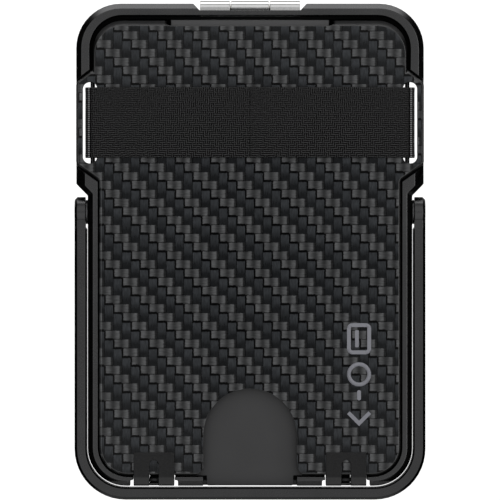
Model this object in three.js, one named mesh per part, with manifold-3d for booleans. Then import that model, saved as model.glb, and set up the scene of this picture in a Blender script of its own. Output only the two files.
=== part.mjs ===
// Magnetic card wallet with a hinged rear plate and a fold-out wire stand.
// Millimetres. The wallet lies on its back: +X right, +Y to the hinged top edge, +Z out of the card side.
// The origin is under the middle of the wallet, on the surface that the rear pad rests on.

import * as THREE from 'three';
import { mergeVertices } from 'three/addons/utils/BufferGeometryUtils.js';
import Module from 'manifold-3d';

const wasm = await Module();
wasm.setup();

// ---- Driving dimensions ------------------------------------------------------------------------------------

const ARC_STEP = THREE.MathUtils.degToRad(8);   // finest turn between two facets of a fillet
const ROUND_SIDES = 24;                         // sides of a barrel or an eye
const PIN_SIDES = 12;                           // sides of a thin pin
const REACH = 60;                               // a length that passes right through the wallet

// Levels from the rear pad to the front of the band
const HOUSING_REAR = 0.5;
const PAD_SEAT = 1.2;
const HOUSING_FRONT = 4.2;
const FRAME_REAR = 4.6;
const LEDGE_TOP = 5.2;
const FLOOR_REAR = 5.3;
const FLOOR_FRONT = 6.0;
const COVER_REAR = 8.0;
const FRAME_FRONT = 9.4;
const COVER_FRONT = 9.4;

// Main frame
const FRAME_HALF = 32.46;
const SIDE_HALF = 30.3;
const FRAME_TOP = 45.96;
const FRAME_BOTTOM = -44.1;
const FRAME_CHAMFER = 1.0;
const ARCH_RADIUS = 8.3;
const ARCH_INNER = { half: 29.98, top: 43.79, radius: 6.2 };
const POCKET_HALF = 28.4;
const POCKET_BOTTOM = -42.42;
const LEDGE_WIDTH = 2.0;
const BLOCK_TOP = 15.9;
const BLOCK_BOTTOM = 12.29;
const BLOCK_FOOT = 10.1;
const BLOCK_CHAMFER = 1.7;

// Ears of the cover, and the windows that the band passes through
const EAR_LOW = { x: 27.94, y: 12.85, slope: 0.6965 };
const EAR_HIGH = { x: 28.97, y: 33.88, slope: -0.772 };
const EAR_GAP = 0.49;
const WINDOW = { inner: 28.52, outer: 31.23, low: 16.12, high: 31.3, radius: 1.3 };
const WINDOW_EASE = 0.1;

// Cover plate
const COVER_HALF = 28.1;
const COVER_SHOULDER = 29.3;
const COVER_TOP = 42.8;
const COVER_BOTTOM = -42.06;
const LIP_HALF = 14.9;
const LIP_DEPTH = 1.0;
const EDGE_CHAMFER = 0.3;
const TOP_CHAMFER = 0.95;
const THUMB = { half: 8.66, centre: -34.65 };

// Base plate
const BASE_HALF = 28.3;
const BASE_TOP = 43.04;
const BASE_BOTTOM = -42.3;
const TONGUE = { half: 8.1, end: -44.15, slot: 8.75 };
const BASE_RIVET = { x: 27.3, rows: [-33, 3, 37.5], head: 0.85, shank: 0.5 };

// Cover hinges along the bottom edge
const LEAF_X = 17.93;
const LEAF_HALF = 3.78;
const LEAF_TOP = -37.8;
const LEAF_SLOT = { half: 0.88, top: -39.2 };
const LEAF_GAP = 0.06;
const LEAF_THICK = 0.5;
const LEAF_FOLD = -44.05;
const COVER_AXIS = { y: -43.05, z: 6.2 };
const LEAF_BARREL = 0.9;
const FINGER_HALF = 0.82;
const COVER_PIN = 0.4;
const LEAF_CUT = { half: 3.9, foot: 4.47, shoulder: -43.0 };

// Elastic band
const BAND = { half: 30.7, low: 17.2, high: 30.3, thick: 0.8, rear: 4.45, front: 10.35 };
const BAND_PIN = { x: 29.45, radius: 0.425, low: 14.6, high: 32.7, z: 5.725 };

// Stand
const STAND = { half: 32.76, bottom: -46.66, wide: 2.27, rear: 4.7, front: 9.3, radius: 9.5, chamfer: 0.5, ease: 0.25 };
const STAND_AXIS = { y: 7.06, z: 7.0 };
const EYE = { radius: 2.8, inner: 30.75, bore: 1.12 };
const PIVOT = { radius: 1.0, inner: 28.6, outer: 32.3 };

// Top hinge between the frame and the rear plate
const HINGE_AXIS = { y: 45.46, z: 4.0 };
const HINGE_BARREL = 1.2;
const HINGE_PIN = 0.6;
const BRACKET = { half: 9.35, foot: 36.6, inner: 3.8, clear: 1.35, web: 44.84, thick: 0.6 };
const ARM = { barrel: 3.5, neck: 3.5, half: 10.0, foot: 34.0, shoulder: 42.4, rear: 3.4, front: 4.1 };

// Rear plate
const REAR_HALF = 27.9;
const REAR_TOP = 43.9;
const REAR_BOTTOM = -41.6;
const REAR_RADIUS = 5.0;
const PAD_INSET = 0.8;
const RING = { y: 4.0, inner: 22.9, outer: 26.9, count: 16, gap: 1.4 };
const SHUNT = { rear: 3.0, front: 3.5 };
const MAGNET = { rear: 1.3, front: 2.9 };
const ALIGN = { y: -31.0, half: 2.4, length: 13.0 };
const FIT = 0.1;

// ---- Finishes ----------------------------------------------------------------------------------------------

const finish = (color, roughness, metalness) => new THREE.MeshStandardMaterial({ color, roughness, metalness });
const BLACK_METAL = finish(0x3b3b3c, 0.38, 0.85);
const FLOOR_METAL = finish(0x3c3c3d, 0.5, 0.7);
const SILVER = finish(0xb4b4b4, 0.25, 1.0);
const CARBON = finish(0x2b2d30, 0.3, 0.2);
const BAND_CLOTH = finish(0x19191a, 0.9, 0.0);
const BLACK_STEEL = finish(0x2a2a2b, 0.4, 0.8);
const RUBBER = finish(0x1c1c1d, 0.85, 0.0);
const NICKEL = finish(0xa5a49e, 0.3, 1.0);

// ---- Solids ------------------------------------------------------------------------------------------------

/** Turns a closed geometry into a solid, dropping the slivers where a lathe meets its axis. */
function solid(geometry) {
  geometry.deleteAttribute('normal');
  geometry.deleteAttribute('uv');
  const merged = mergeVertices(geometry, 1e-5);
  const corners = merged.index.array;
  const place = (i) => new THREE.Vector3().fromBufferAttribute(merged.attributes.position, i);
  const faces = [];
  let volume = 0;
  for (let i = 0; i < corners.length; i += 3) {
    const [a, b, c] = corners.slice(i, i + 3);
    if (a === b || b === c || c === a) continue;
    faces.push([a, b, c]);
    volume += place(a).dot(place(b).cross(place(c)));
  }
  const outward = volume < 0 ? faces.map(([a, b, c]) => [a, c, b]) : faces;
  return new wasm.Manifold(new wasm.Mesh({
    numProp: 3,
    vertProperties: Float32Array.from(merged.attributes.position.array),
    triVerts: Uint32Array.from(outward.flat()),
  }));
}

/** Puts a solid in the scene as a named mesh. */
function piece(name, material, body) {
  const { vertProperties, triVerts } = body.getMesh();
  const geometry = new THREE.BufferGeometry();
  geometry.setAttribute('position', new THREE.BufferAttribute(vertProperties, 3));
  geometry.setIndex(new THREE.BufferAttribute(triVerts, 1));
  geometry.computeVertexNormals();
  const mesh = new THREE.Mesh(geometry, material);
  mesh.name = name;
  return mesh;
}

/** Rounds the corners of a polygon whose points are [x, y, radius]. */
function outline(points) {
  const path = [];
  points.forEach(([x, y, radius = 0], i) => {
    const corner = new THREE.Vector2(x, y);
    if (radius === 0) {
      path.push(corner);
      return;
    }
    const last = new THREE.Vector2(...points.at(i - 1).slice(0, 2)).sub(corner).normalize();
    const next = new THREE.Vector2(...points[(i + 1) % points.length].slice(0, 2)).sub(corner).normalize();
    const half = Math.acos(THREE.MathUtils.clamp(last.dot(next), -1, 1)) / 2;
    const middle = last.clone().add(next).setLength(radius / Math.sin(half)).add(corner);
    const from = last.clone().multiplyScalar(radius / Math.tan(half)).add(corner).sub(middle).angle();
    const to = next.clone().multiplyScalar(radius / Math.tan(half)).add(corner).sub(middle).angle();
    const turn = THREE.MathUtils.euclideanModulo(to - from + Math.PI, 2 * Math.PI) - Math.PI;
    const steps = Math.max(2, Math.ceil(Math.abs(turn) / ARC_STEP));
    for (let k = 0; k <= steps; k += 1) {
      const angle = from + turn * k / steps;
      path.push(new THREE.Vector2(middle.x + radius * Math.cos(angle), middle.y + radius * Math.sin(angle)));
    }
  });
  return path;
}

/** Completes an outline whose right half runs from the bottom to the top. */
const mirrored = (half) => [...half, ...half.map(([x, ...rest]) => [-x, ...rest]).reverse()];

/** Extrudes an outline in X and Y from one level up to another, with a chamfer round its front edge. */
function slab(points, rear, front, chamfer = 0) {
  const shape = new THREE.Shape(outline(points));
  if (chamfer === 0) {
    const plain = new THREE.ExtrudeGeometry(shape, { depth: front - rear, bevelEnabled: false });
    return solid(plain.translate(0, 0, rear));
  }
  const start = rear - 1;
  const geometry = new THREE.ExtrudeGeometry(shape, {
    depth: front - chamfer - start,
    bevelThickness: chamfer,
    bevelSize: chamfer,
    bevelOffset: -chamfer,
    bevelSegments: 1,
  });
  return solid(geometry.translate(0, 0, start)).subtract(box(-REACH, REACH, -REACH, REACH, rear - REACH, rear));
}

/** A slab with a chamfer round both of its faces. */
function softSlab(points, rear, front, chamfer) {
  const shape = new THREE.Shape(outline(points));
  const geometry = new THREE.ExtrudeGeometry(shape, {
    depth: front - rear - 2 * chamfer,
    bevelThickness: chamfer,
    bevelSize: chamfer,
    bevelOffset: -chamfer,
    bevelSegments: 1,
  });
  return solid(geometry.translate(0, 0, rear + chamfer));
}

/** Extrudes a profile in Y and Z along X. */
function alongX(points, low, high) {
  const shape = new THREE.Shape(outline(points));
  const geometry = new THREE.ExtrudeGeometry(shape, { depth: high - low, bevelEnabled: false });
  const turn = new THREE.Matrix4().makeBasis(
    new THREE.Vector3(0, 1, 0),
    new THREE.Vector3(0, 0, 1),
    new THREE.Vector3(1, 0, 0),
  );
  return solid(geometry.applyMatrix4(turn).translate(low, 0, 0));
}

/** Extrudes a profile in X and Z along Y. */
function alongY(points, low, high) {
  const shape = new THREE.Shape(outline(points));
  const geometry = new THREE.ExtrudeGeometry(shape, { depth: high - low, bevelEnabled: false });
  return solid(geometry.rotateX(Math.PI / 2).translate(0, high, 0));
}

function box(x0, x1, y0, y1, z0, z1) {
  const geometry = new THREE.BoxGeometry(x1 - x0, y1 - y0, z1 - z0);
  return solid(geometry.translate((x0 + x1) / 2, (y0 + y1) / 2, (z0 + z1) / 2));
}

function barX(radius, x0, x1, { y, z }, sides = ROUND_SIDES) {
  const geometry = new THREE.CylinderGeometry(radius, radius, x1 - x0, sides);
  return solid(geometry.rotateZ(Math.PI / 2).translate((x0 + x1) / 2, y, z));
}

function barY(radius, y0, y1, x, z, sides = PIN_SIDES) {
  const geometry = new THREE.CylinderGeometry(radius, radius, y1 - y0, sides);
  return solid(geometry.translate(x, (y0 + y1) / 2, z));
}

function discZ(radius, z0, z1, x, y, sides = ROUND_SIDES) {
  const geometry = new THREE.CylinderGeometry(radius, radius, z1 - z0, sides);
  return solid(geometry.rotateX(Math.PI / 2).translate(x, y, (z0 + z1) / 2));
}

/** A countersunk fastener that stands down from its flat head; `ease` grows it into its hole. */
function countersunk(head, shank, depth, x, y, z, ease = 0) {
  const profile = [
    [0, -depth - ease],
    [shank + ease, -depth - ease],
    [shank + ease, shank - head],
    [head + ease, 0],
    [head + ease, ease * 4],
    [0, ease * 4],
  ];
  const points = profile.map(([r, h]) => new THREE.Vector2(r, h));
  if (ease === 0) points.splice(4, 1);
  const geometry = new THREE.LatheGeometry(points, PIN_SIDES);
  return solid(geometry.rotateX(Math.PI / 2).translate(x, y, z));
}

const join = (first, ...others) => others.reduce((body, other) => body.add(other), first);
const cut = (first, ...others) => others.reduce((body, other) => body.subtract(other), first);
const SIDES = [['left', -1], ['right', 1]];

/** The same half-outline on the left or the right, going round the same way. */
const onSide = (points, side) => (side > 0 ? points : points.map(([x, ...rest]) => [-x, ...rest]).reverse());

/** Spans [inner, outer] on one side of the middle, as [low, high]. */
const span = (side, inner, outer) => (side > 0 ? [inner, outer] : [-outer, -inner]);

/** Height of an ear's slanted edge at a distance from the middle. */
const edgeAt = ({ x, y, slope }, at) => y + (at - x) * slope;

// ---- Frame -------------------------------------------------------------------------------------------------

/** Pocket in the frame that an ear of the cover lies in. */
function earPocket(side) {
  const outer = FRAME_HALF + 1;
  const inner = POCKET_HALF - 1;
  const low = { ...EAR_LOW, y: EAR_LOW.y - EAR_GAP };
  const high = { ...EAR_HIGH, y: EAR_HIGH.y + EAR_GAP };
  const points = [
    [inner, edgeAt(low, inner)],
    [outer, edgeAt(low, outer)],
    [outer, edgeAt(high, outer)],
    [inner, edgeAt(high, inner)],
  ];
  return slab(onSide(points, side), COVER_REAR - 0.2, FRAME_FRONT + 1);
}

function window(side, ease, rear, front) {
  const { inner, outer, low, high, radius } = WINDOW;
  const points = [
    [inner - ease, low - ease, radius],
    [outer + ease, low - ease, radius],
    [outer + ease, high + ease, radius],
    [inner - ease, high + ease, radius],
  ];
  return slab(onSide(points, side), rear, front);
}

/** Cut-out in the bottom rim round one hinge of the cover, wider at its foot. */
function leafCut(side) {
  const { half, foot, shoulder } = LEAF_CUT;
  const points = [
    [LEAF_X - half, COVER_BOTTOM + 0.3],
    [LEAF_X + half, COVER_BOTTOM + 0.3],
    [LEAF_X + half, shoulder],
    [LEAF_X + foot, shoulder, 0.3],
    [LEAF_X + foot, FRAME_BOTTOM - 1],
    [LEAF_X - foot, FRAME_BOTTOM - 1],
    [LEAF_X - foot, shoulder, 0.3],
    [LEAF_X - half, shoulder],
  ];
  return slab(onSide(points, side), 0, FRAME_FRONT + 1);
}

function frameOutline() {
  return mirrored([
    [SIDE_HALF, FRAME_BOTTOM, 7.1],
    [SIDE_HALF, BLOCK_FOOT],
    [FRAME_HALF, BLOCK_BOTTOM],
    [FRAME_HALF, FRAME_TOP, ARCH_RADIUS],
  ]);
}

/** Ring with an arch at the top, window bars, side blocks, a ledge for the base plate and a bottom rim. */
function mainFrame() {
  const archStart = edgeAt(EAR_HIGH, COVER_SHOULDER);
  const archHollow = mirrored([
    [ARCH_INNER.half, archStart],
    [ARCH_INNER.half, ARCH_INNER.top, ARCH_INNER.radius],
  ]);
  const pocket = mirrored([
    [POCKET_HALF, POCKET_BOTTOM, 5.6],
    [POCKET_HALF, archStart + 1],
  ]);
  const ledgeHollow = mirrored([
    [POCKET_HALF - LEDGE_WIDTH, POCKET_BOTTOM + LEDGE_WIDTH, 3.6],
    [POCKET_HALF - LEDGE_WIDTH, ARCH_INNER.top - LEDGE_WIDTH, 4.2],
  ]);
  const notchFlare = (FRAME_TOP - 44.7) * 0.9;
  const hingeNotch = mirrored([
    [BRACKET.half + 0.1, 44.7],
    [BRACKET.half + 0.1 + notchFlare * 1.5, 44.7 + (FRAME_TOP - 44.7) * 1.5],
  ]);
  const bandWay = box(-REACH / 2, REACH / 2, BAND.low - 0.3, BAND.high + 0.3, 0, LEDGE_TOP + 0.1);
  let body = slab(frameOutline(), FRAME_REAR, FRAME_FRONT, FRAME_CHAMFER);
  body = cut(
    body,
    slab(archHollow, LEDGE_TOP, FRAME_FRONT + 1),
    slab(pocket, LEDGE_TOP, FRAME_FRONT + 1),
    slab(ledgeHollow, 0, FRAME_FRONT),
    slab(hingeNotch, 0, FRAME_FRONT + 1),
    box(-BRACKET.half - 0.1, BRACKET.half + 0.1, BRACKET.foot - 0.2, 45, 0, LEDGE_TOP + 0.1),
    box(-TONGUE.slot, TONGUE.slot, FRAME_BOTTOM - 1, POCKET_BOTTOM + 0.2, LEDGE_TOP, FRAME_FRONT + 1),
    bandWay.intersect(box(-BAND.half - 0.2, BAND.half + 0.2, -REACH, REACH, 0, FRAME_FRONT)),
  );
  for (const [, side] of SIDES) {
    const [chamferLow, chamferHigh] = span(side, FRAME_HALF - BLOCK_CHAMFER, FRAME_HALF + 1);
    const wedge = side > 0
      ? [[chamferLow, FRAME_FRONT], [chamferHigh, FRAME_FRONT - BLOCK_CHAMFER - 1], [chamferHigh, FRAME_FRONT + 1],
        [chamferLow, FRAME_FRONT + 1]]
      : [[chamferHigh, FRAME_FRONT], [chamferHigh, FRAME_FRONT + 1], [chamferLow, FRAME_FRONT + 1],
        [chamferLow, FRAME_FRONT - BLOCK_CHAMFER - 1]];
    body = cut(
      body,
      earPocket(side),
      window(side, WINDOW_EASE, 0, FRAME_FRONT + 1),
      leafCut(side),
      alongY(wedge, BLOCK_BOTTOM - 0.4, BLOCK_TOP + 1.5),
      barY(BAND_PIN.radius + 0.04, BAND_PIN.low - 0.05, BAND_PIN.high + 0.05, side * BAND_PIN.x, BAND_PIN.z),
      barX(PIVOT.radius + 0.05, ...span(side, POCKET_HALF - 1, SIDE_HALF + 1), STAND_AXIS),
    );
    for (const row of BASE_RIVET.rows) {
      body = cut(body, baseRivet(side, row, 0.06));
    }
  }
  return piece('main_frame', BLACK_METAL, body);
}

const baseRivet = (side, row, ease) => countersunk(
  BASE_RIVET.head,
  BASE_RIVET.shank,
  FLOOR_FRONT - FRAME_REAR - 0.1,
  side * BASE_RIVET.x,
  row,
  FLOOR_FRONT - 0.05,
  ease,
);

/** Card floor with its tongue and the fingers that carry the cover's hinge pins. */
function basePlate() {
  const points = mirrored([
    [TONGUE.half, TONGUE.end, 0.4],
    [TONGUE.half, BASE_BOTTOM],
    [BASE_HALF, BASE_BOTTOM, 5.5],
    [BASE_HALF, BASE_TOP, 5.8],
  ]);
  let body = slab(points, FLOOR_REAR, FLOOR_FRONT);
  for (const [, side] of SIDES) {
    const relief = [LEAF_X - LEAF_CUT.foot, LEAF_X + LEAF_CUT.foot];
    const finger = span(side, LEAF_X - FINGER_HALF, LEAF_X + FINGER_HALF);
    body = cut(body, box(...span(side, ...relief), BASE_BOTTOM - 1, COVER_BOTTOM + 0.3, 0, FRAME_FRONT));
    body = join(
      body,
      box(...finger, COVER_AXIS.y, COVER_BOTTOM + 1, FLOOR_REAR + 0.1, FLOOR_FRONT),
      barX(LEAF_BARREL, ...finger, COVER_AXIS),
    );
    body = cut(
      body,
      barX(COVER_PIN + 0.03, ...finger.map((x, i) => x + (i ? 1 : -1)), COVER_AXIS, PIN_SIDES),
      bracketRivet(side, 0.06),
      ...BASE_RIVET.rows.map((row) => baseRivet(side, row, 0.06)),
    );
  }
  return piece('base_plate', FLOOR_METAL, body);
}

const bracketRivet = (side, ease) => solid(
  new THREE.LatheGeometry([
    new THREE.Vector2(0, 0.05 - ease),
    new THREE.Vector2(1.5 + ease, 0.05 - ease),
    new THREE.Vector2(0.8 + ease, 0.75),
    new THREE.Vector2(0.8 + ease, 1.3 + ease * 4),
    new THREE.Vector2(0, 1.3 + ease * 4),
  ], PIN_SIDES).rotateX(Math.PI / 2).translate(side * 6.2, 40, FRAME_REAR),
);

/** Frame half of the top hinge: a leaf with a barrel at each end of its outer edge. */
function hingeBracket() {
  const { half, foot, inner, clear, web, thick } = BRACKET;
  const leaf = mirrored([[half, foot, 1.5], [half, HINGE_AXIS.y]]);
  const top = HINGE_AXIS.z + HINGE_BARREL;
  let body = slab(leaf, top - thick, top);
  for (const [, side] of SIDES) {
    body = join(body, barX(HINGE_BARREL, ...span(side, inner, half), HINGE_AXIS));
  }
  body = cut(
    body,
    box(-inner, inner, web, HINGE_AXIS.y + 2, 0, FRAME_FRONT),
    barX(clear, -inner, inner, HINGE_AXIS),
    barX(HINGE_PIN + 0.05, -half - 1, half + 1, HINGE_AXIS),
    ...SIDES.map(([, side]) => bracketRivet(side, 0.06)),
  );
  return piece('hinge_bracket', SILVER, body);
}

// ---- Band and its pins -------------------------------------------------------------------------------------

/** Elastic loop over the cover, down through the windows, round the pins and behind the base plate. */
function elasticBand() {
  const { half, low, high, thick, rear, front } = BAND;
  const round = BAND_PIN.radius + 0.05;
  const outer = mirrored([[half, rear, round + thick], [half, front, 1.3]]);
  const inner = mirrored([[half - thick, rear + thick, round], [half - thick, front - thick, 0.5]]);
  const body = cut(alongY(outer, low, high), alongY(inner, low - 1, high + 1));
  return piece('elastic_band', BAND_CLOTH, body);
}

// ---- Cover -------------------------------------------------------------------------------------------------

/** Carbon-fibre front plate with an ear and a window on each side, a thumb notch and a lead-in at the top. */
function coverPlate() {
  const points = mirrored([
    [COVER_HALF, COVER_BOTTOM, 5.3],
    [COVER_HALF, edgeAt(EAR_LOW, COVER_HALF), 0.8],
    [FRAME_HALF, edgeAt(EAR_LOW, FRAME_HALF), 1.2],
    [FRAME_HALF, edgeAt(EAR_HIGH, FRAME_HALF), 1.2],
    [COVER_SHOULDER, edgeAt(EAR_HIGH, COVER_SHOULDER), 0.5],
    [COVER_SHOULDER, COVER_TOP, 5.5],
  ]);
  const leadIn = mirrored([
    [LIP_HALF, COVER_TOP - LIP_DEPTH, 0.5],
    [LIP_HALF + 0.8, COVER_TOP - LIP_DEPTH / 2],
    [LIP_HALF, COVER_TOP + 1],
  ]);
  const notch = mirrored([
    [THUMB.half + 2.4, COVER_BOTTOM - 2],
    [THUMB.half + 1.2, COVER_BOTTOM],
    [THUMB.half, COVER_BOTTOM + 1.2],
    [THUMB.half, THUMB.centre],
  ]);
  const widening = TOP_CHAMFER - EDGE_CHAMFER;
  const topEdge = mirrored([
    [REACH, -REACH],
    [REACH, EAR_HIGH.y],
    [COVER_SHOULDER + widening, EAR_HIGH.y],
    [COVER_SHOULDER + widening, COVER_TOP, 5.5 + widening],
  ]);
  const body = cut(
    slab(points, COVER_REAR, COVER_FRONT, EDGE_CHAMFER).intersect(slab(topEdge, 0, COVER_FRONT, TOP_CHAMFER)),
    slab(leadIn, 0, COVER_FRONT + 1),
    slab(notch, 0, COVER_FRONT + 1),
    discZ(THUMB.half, 0, COVER_FRONT + 1, 0, THUMB.centre, 40),
    ...SIDES.map(([, side]) => window(side, 0, 0, COVER_FRONT + 1)),
  );
  return piece('cover_plate', CARBON, body);
}

/** Leaf folded over the cover's bottom edge and rolled round its hinge pin. */
function coverHingeLeaf(name, side) {
  const front = COVER_FRONT + LEAF_GAP;
  const inside = LEAF_FOLD + LEAF_THICK;
  const bend = [
    [LEAF_TOP, front],
    [LEAF_TOP, front + LEAF_THICK],
    [LEAF_FOLD, front + LEAF_THICK, LEAF_THICK + 0.1],
    [LEAF_FOLD, COVER_AXIS.z],
    [inside, COVER_AXIS.z],
    [inside, front, 0.1],
  ];
  const width = span(side, LEAF_X - LEAF_HALF, LEAF_X + LEAF_HALF);
  const slot = span(side, LEAF_X - LEAF_SLOT.half, LEAF_X + LEAF_SLOT.half);
  const through = [width[0] - 1, width[1] + 1];
  const body = cut(
    join(alongX(bend, ...width), barX(LEAF_BARREL, ...width, COVER_AXIS)),
    box(...slot, FRAME_BOTTOM, LEAF_SLOT.top - LEAF_SLOT.half, 0, COVER_FRONT + 2),
    discZ(LEAF_SLOT.half, 0, COVER_FRONT + 2, side * LEAF_X, LEAF_SLOT.top - LEAF_SLOT.half),
    barX(COVER_PIN + 0.06, ...through, COVER_AXIS, PIN_SIDES),
  );
  const bridge = box(...slot.map((x, i) => x + (i ? 0.5 : -0.5)), LEAF_FOLD, inside, 7.2, 8.0);
  return piece(name, BLACK_STEEL, join(body, bridge));
}

// ---- Stand -------------------------------------------------------------------------------------------------

/** U-shaped bar round the sides and the bottom, with an eye at each end. */
function standBail() {
  const { half, bottom, wide, rear, front, radius, chamfer, ease } = STAND;
  const inner = half - wide;
  const step = EYE.inner;
  const inside = [
    [inner, bottom + wide, radius - wide],
    [inner, STAND_AXIS.y - EYE.radius - 0.4],
    [step, STAND_AXIS.y - EYE.radius],
    [step, STAND_AXIS.y + 1],
  ];
  const flare = [
    [inner + ease, bottom + wide - ease, radius - wide + ease],
    [inner + ease, STAND_AXIS.y - EYE.radius - 0.4],
  ];
  const outside = [[half, bottom, radius], [half, STAND_AXIS.y]];
  let body = cut(
    softSlab(mirrored(outside), rear, front, chamfer),
    slab(mirrored(inside), 0, REACH),
    softSlab(mirrored(flare), front - ease, front + ease, ease),
  );
  for (const [, side] of SIDES) {
    const wall = half - EYE.inner;
    const profile = [[EYE.bore, 0], [EYE.radius, 0], [EYE.radius, wall - 0.5], [EYE.radius - 0.5, wall],
      [EYE.bore, wall], [EYE.bore, 0]];
    const ring = new THREE.LatheGeometry(profile.map(([r, h]) => new THREE.Vector2(r, h)), ROUND_SIDES);
    ring.rotateZ(-side * Math.PI / 2).translate(side * EYE.inner, STAND_AXIS.y, STAND_AXIS.z);
    body = join(body, solid(ring));
    body = cut(body, barX(EYE.bore, ...span(side, EYE.inner - 1, half + 1), STAND_AXIS));
  }
  return piece('stand_bail', BLACK_METAL, body);
}

/** Shoulder pin that an eye of the stand turns on, with a hexagon socket in its outer end. */
function standPivot(name, side) {
  const body = barX(PIVOT.radius, ...span(side, PIVOT.inner, PIVOT.outer), STAND_AXIS);
  const socket = barX(0.55, ...span(side, PIVOT.outer - 0.8, PIVOT.outer + 1), STAND_AXIS, 6);
  return piece(name, BLACK_STEEL, cut(body, socket));
}

function standWasher(name, side) {
  const wall = [SIDE_HALF + 0.07, EYE.inner - 0.08];
  const disc = barX(2.25, ...span(side, ...wall), STAND_AXIS);
  const hole = barX(PIVOT.radius + 0.08, ...span(side, wall[0] - 1, wall[1] + 1), STAND_AXIS);
  return piece(name, BLACK_STEEL, cut(disc, hole));
}

// ---- Rear plate --------------------------------------------------------------------------------------------

const armScrew = (side, ease) => countersunk(1.6, 0.8, 2.0, side * 6.5, 38.2, ARM.front - 0.03, ease);

/** Plate half of the top hinge: a barrel on a neck, with a foot that is screwed to the housing. */
function hingeArm() {
  const points = mirrored([
    [ARM.half, ARM.foot, 1.5],
    [ARM.half, ARM.shoulder, 1.0],
    [ARM.neck, ARM.shoulder],
    [ARM.neck, HINGE_AXIS.y],
  ]);
  const body = cut(
    join(slab(points, ARM.rear, ARM.front), barX(HINGE_BARREL, -ARM.barrel, ARM.barrel, HINGE_AXIS)),
    barX(HINGE_PIN + 0.07, -ARM.barrel - 1, ARM.barrel + 1, HINGE_AXIS),
    ...SIDES.map(([, side]) => armScrew(side, 0.06)),
  );
  return piece('hinge_arm', SILVER, body);
}

const rearOutline = (inset) => mirrored([
  [REAR_HALF - inset, REAR_BOTTOM + inset, REAR_RADIUS - inset],
  [REAR_HALF - inset, REAR_TOP - inset, REAR_RADIUS - inset],
]);

const disc = (radius, rear, front) => discZ(radius, rear, front, 0, RING.y, 64);
const ring = (inner, outer, rear, front) => cut(disc(outer, rear, front), disc(inner, rear - 1, front + 1));

/** Shell that holds the magnets, open to the rear where the pad closes it. */
function magnetHousing() {
  const armPocket = mirrored([
    [ARM.half + 0.15, ARM.foot - 0.15, 1.5],
    [ARM.half + 0.15, ARM.shoulder + 0.15],
    [ARM.neck + 0.15, ARM.shoulder + 0.15],
    [ARM.neck + 0.15, REAR_TOP + 1],
  ]);
  const body = cut(
    softSlab(rearOutline(0), HOUSING_REAR, HOUSING_FRONT, 0.4),
    slab(rearOutline(PAD_INSET), 0, PAD_SEAT),
    ring(RING.inner - FIT, RING.outer + FIT, PAD_SEAT - 0.1, SHUNT.front + FIT),
    box(-ALIGN.half - FIT, ALIGN.half + FIT, ALIGN.y - ALIGN.length / 2 - FIT, ALIGN.y + ALIGN.length / 2 + FIT,
      PAD_SEAT - 0.1, MAGNET.front + FIT),
    slab(armPocket, ARM.rear - FIT, HOUSING_FRONT + 1),
    ...SIDES.map(([, side]) => armScrew(side, 0.06)),
  );
  return piece('magnet_housing', BLACK_METAL, body);
}

function rearPad() {
  return piece('rear_pad', RUBBER, slab(rearOutline(PAD_INSET + FIT), 0, PAD_SEAT - 0.05));
}

/** One magnet of the ring, as a sector between two radii. */
function ringMagnet(index) {
  const step = 2 * Math.PI / RING.count;
  const halfAngle = step / 2 - THREE.MathUtils.degToRad(RING.gap / 2);
  const middle = index * step;
  const shape = new THREE.Shape();
  shape.absarc(0, 0, RING.outer - 0.1, middle - halfAngle, middle + halfAngle, false);
  shape.absarc(0, 0, RING.inner + 0.1, middle + halfAngle, middle - halfAngle, true);
  const options = { depth: MAGNET.front - MAGNET.rear, bevelEnabled: false, curveSegments: 4 };
  const geometry = new THREE.ExtrudeGeometry(shape, options).translate(0, RING.y, MAGNET.rear);
  return piece(`ring_magnet_${index + 1}`, NICKEL, solid(geometry));
}

// ---- Assembly ----------------------------------------------------------------------------------------------

function frameGroup() {
  const group = new THREE.Group();
  group.add(mainFrame(), basePlate(), hingeBracket(), elasticBand());
  group.add(piece('hinge_pin', NICKEL, barX(HINGE_PIN, -BRACKET.half + 0.2, BRACKET.half - 0.2, HINGE_AXIS)));
  for (const [word, side] of SIDES) {
    const { radius, low, high, x, z } = BAND_PIN;
    const leafWidth = span(side, LEAF_X - LEAF_HALF + 0.1, LEAF_X + LEAF_HALF - 0.1);
    group.add(
      piece(`band_pin_${word}`, BLACK_STEEL, barY(radius, low, high, side * x, z)),
      piece(`cover_hinge_pin_${word}`, BLACK_STEEL, barX(COVER_PIN, ...leafWidth, COVER_AXIS, PIN_SIDES)),
      piece(`bracket_rivet_${word}`, NICKEL, bracketRivet(side, 0)),
      standPivot(`stand_pivot_${word}`, side),
      standWasher(`stand_washer_${word}`, side),
    );
    BASE_RIVET.rows.forEach((row, i) => {
      group.add(piece(`base_rivet_${word}_${i + 1}`, BLACK_STEEL, baseRivet(side, row, 0)));
    });
  }
  return group;
}

function coverGroup() {
  const group = new THREE.Group();
  group.add(coverPlate());
  for (const [word, side] of SIDES) {
    group.add(coverHingeLeaf(`cover_hinge_leaf_${word}`, side));
  }
  return group;
}

function rearGroup() {
  const group = new THREE.Group();
  const { y, half, length } = ALIGN;
  group.add(hingeArm(), magnetHousing(), rearPad());
  group.add(piece('shunt_ring', NICKEL, ring(RING.inner, RING.outer, SHUNT.rear, SHUNT.front)));
  group.add(piece('align_magnet', NICKEL, box(-half, half, y - length / 2, y + length / 2, MAGNET.rear, MAGNET.front)));
  for (const [word, side] of SIDES) {
    group.add(piece(`arm_screw_${word}`, BLACK_STEEL, armScrew(side, 0)));
  }
  for (let i = 0; i < RING.count; i += 1) {
    group.add(ringMagnet(i));
  }
  return group;
}

const wallet = new THREE.Group();
wallet.name = 'card_wallet';
wallet.add(frameGroup(), coverGroup(), standBail(), rearGroup());

export default wallet;
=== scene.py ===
"""Looks of a magnetic card wallet with a fold-out stand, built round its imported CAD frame.

Metres, in the frame of the CAD model: +X right, +Y to the hinged top edge, +Z out of the card side.
Sizes of the parts are written in millimetres and turned into metres by MM where a mesh is made.
"""

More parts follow.
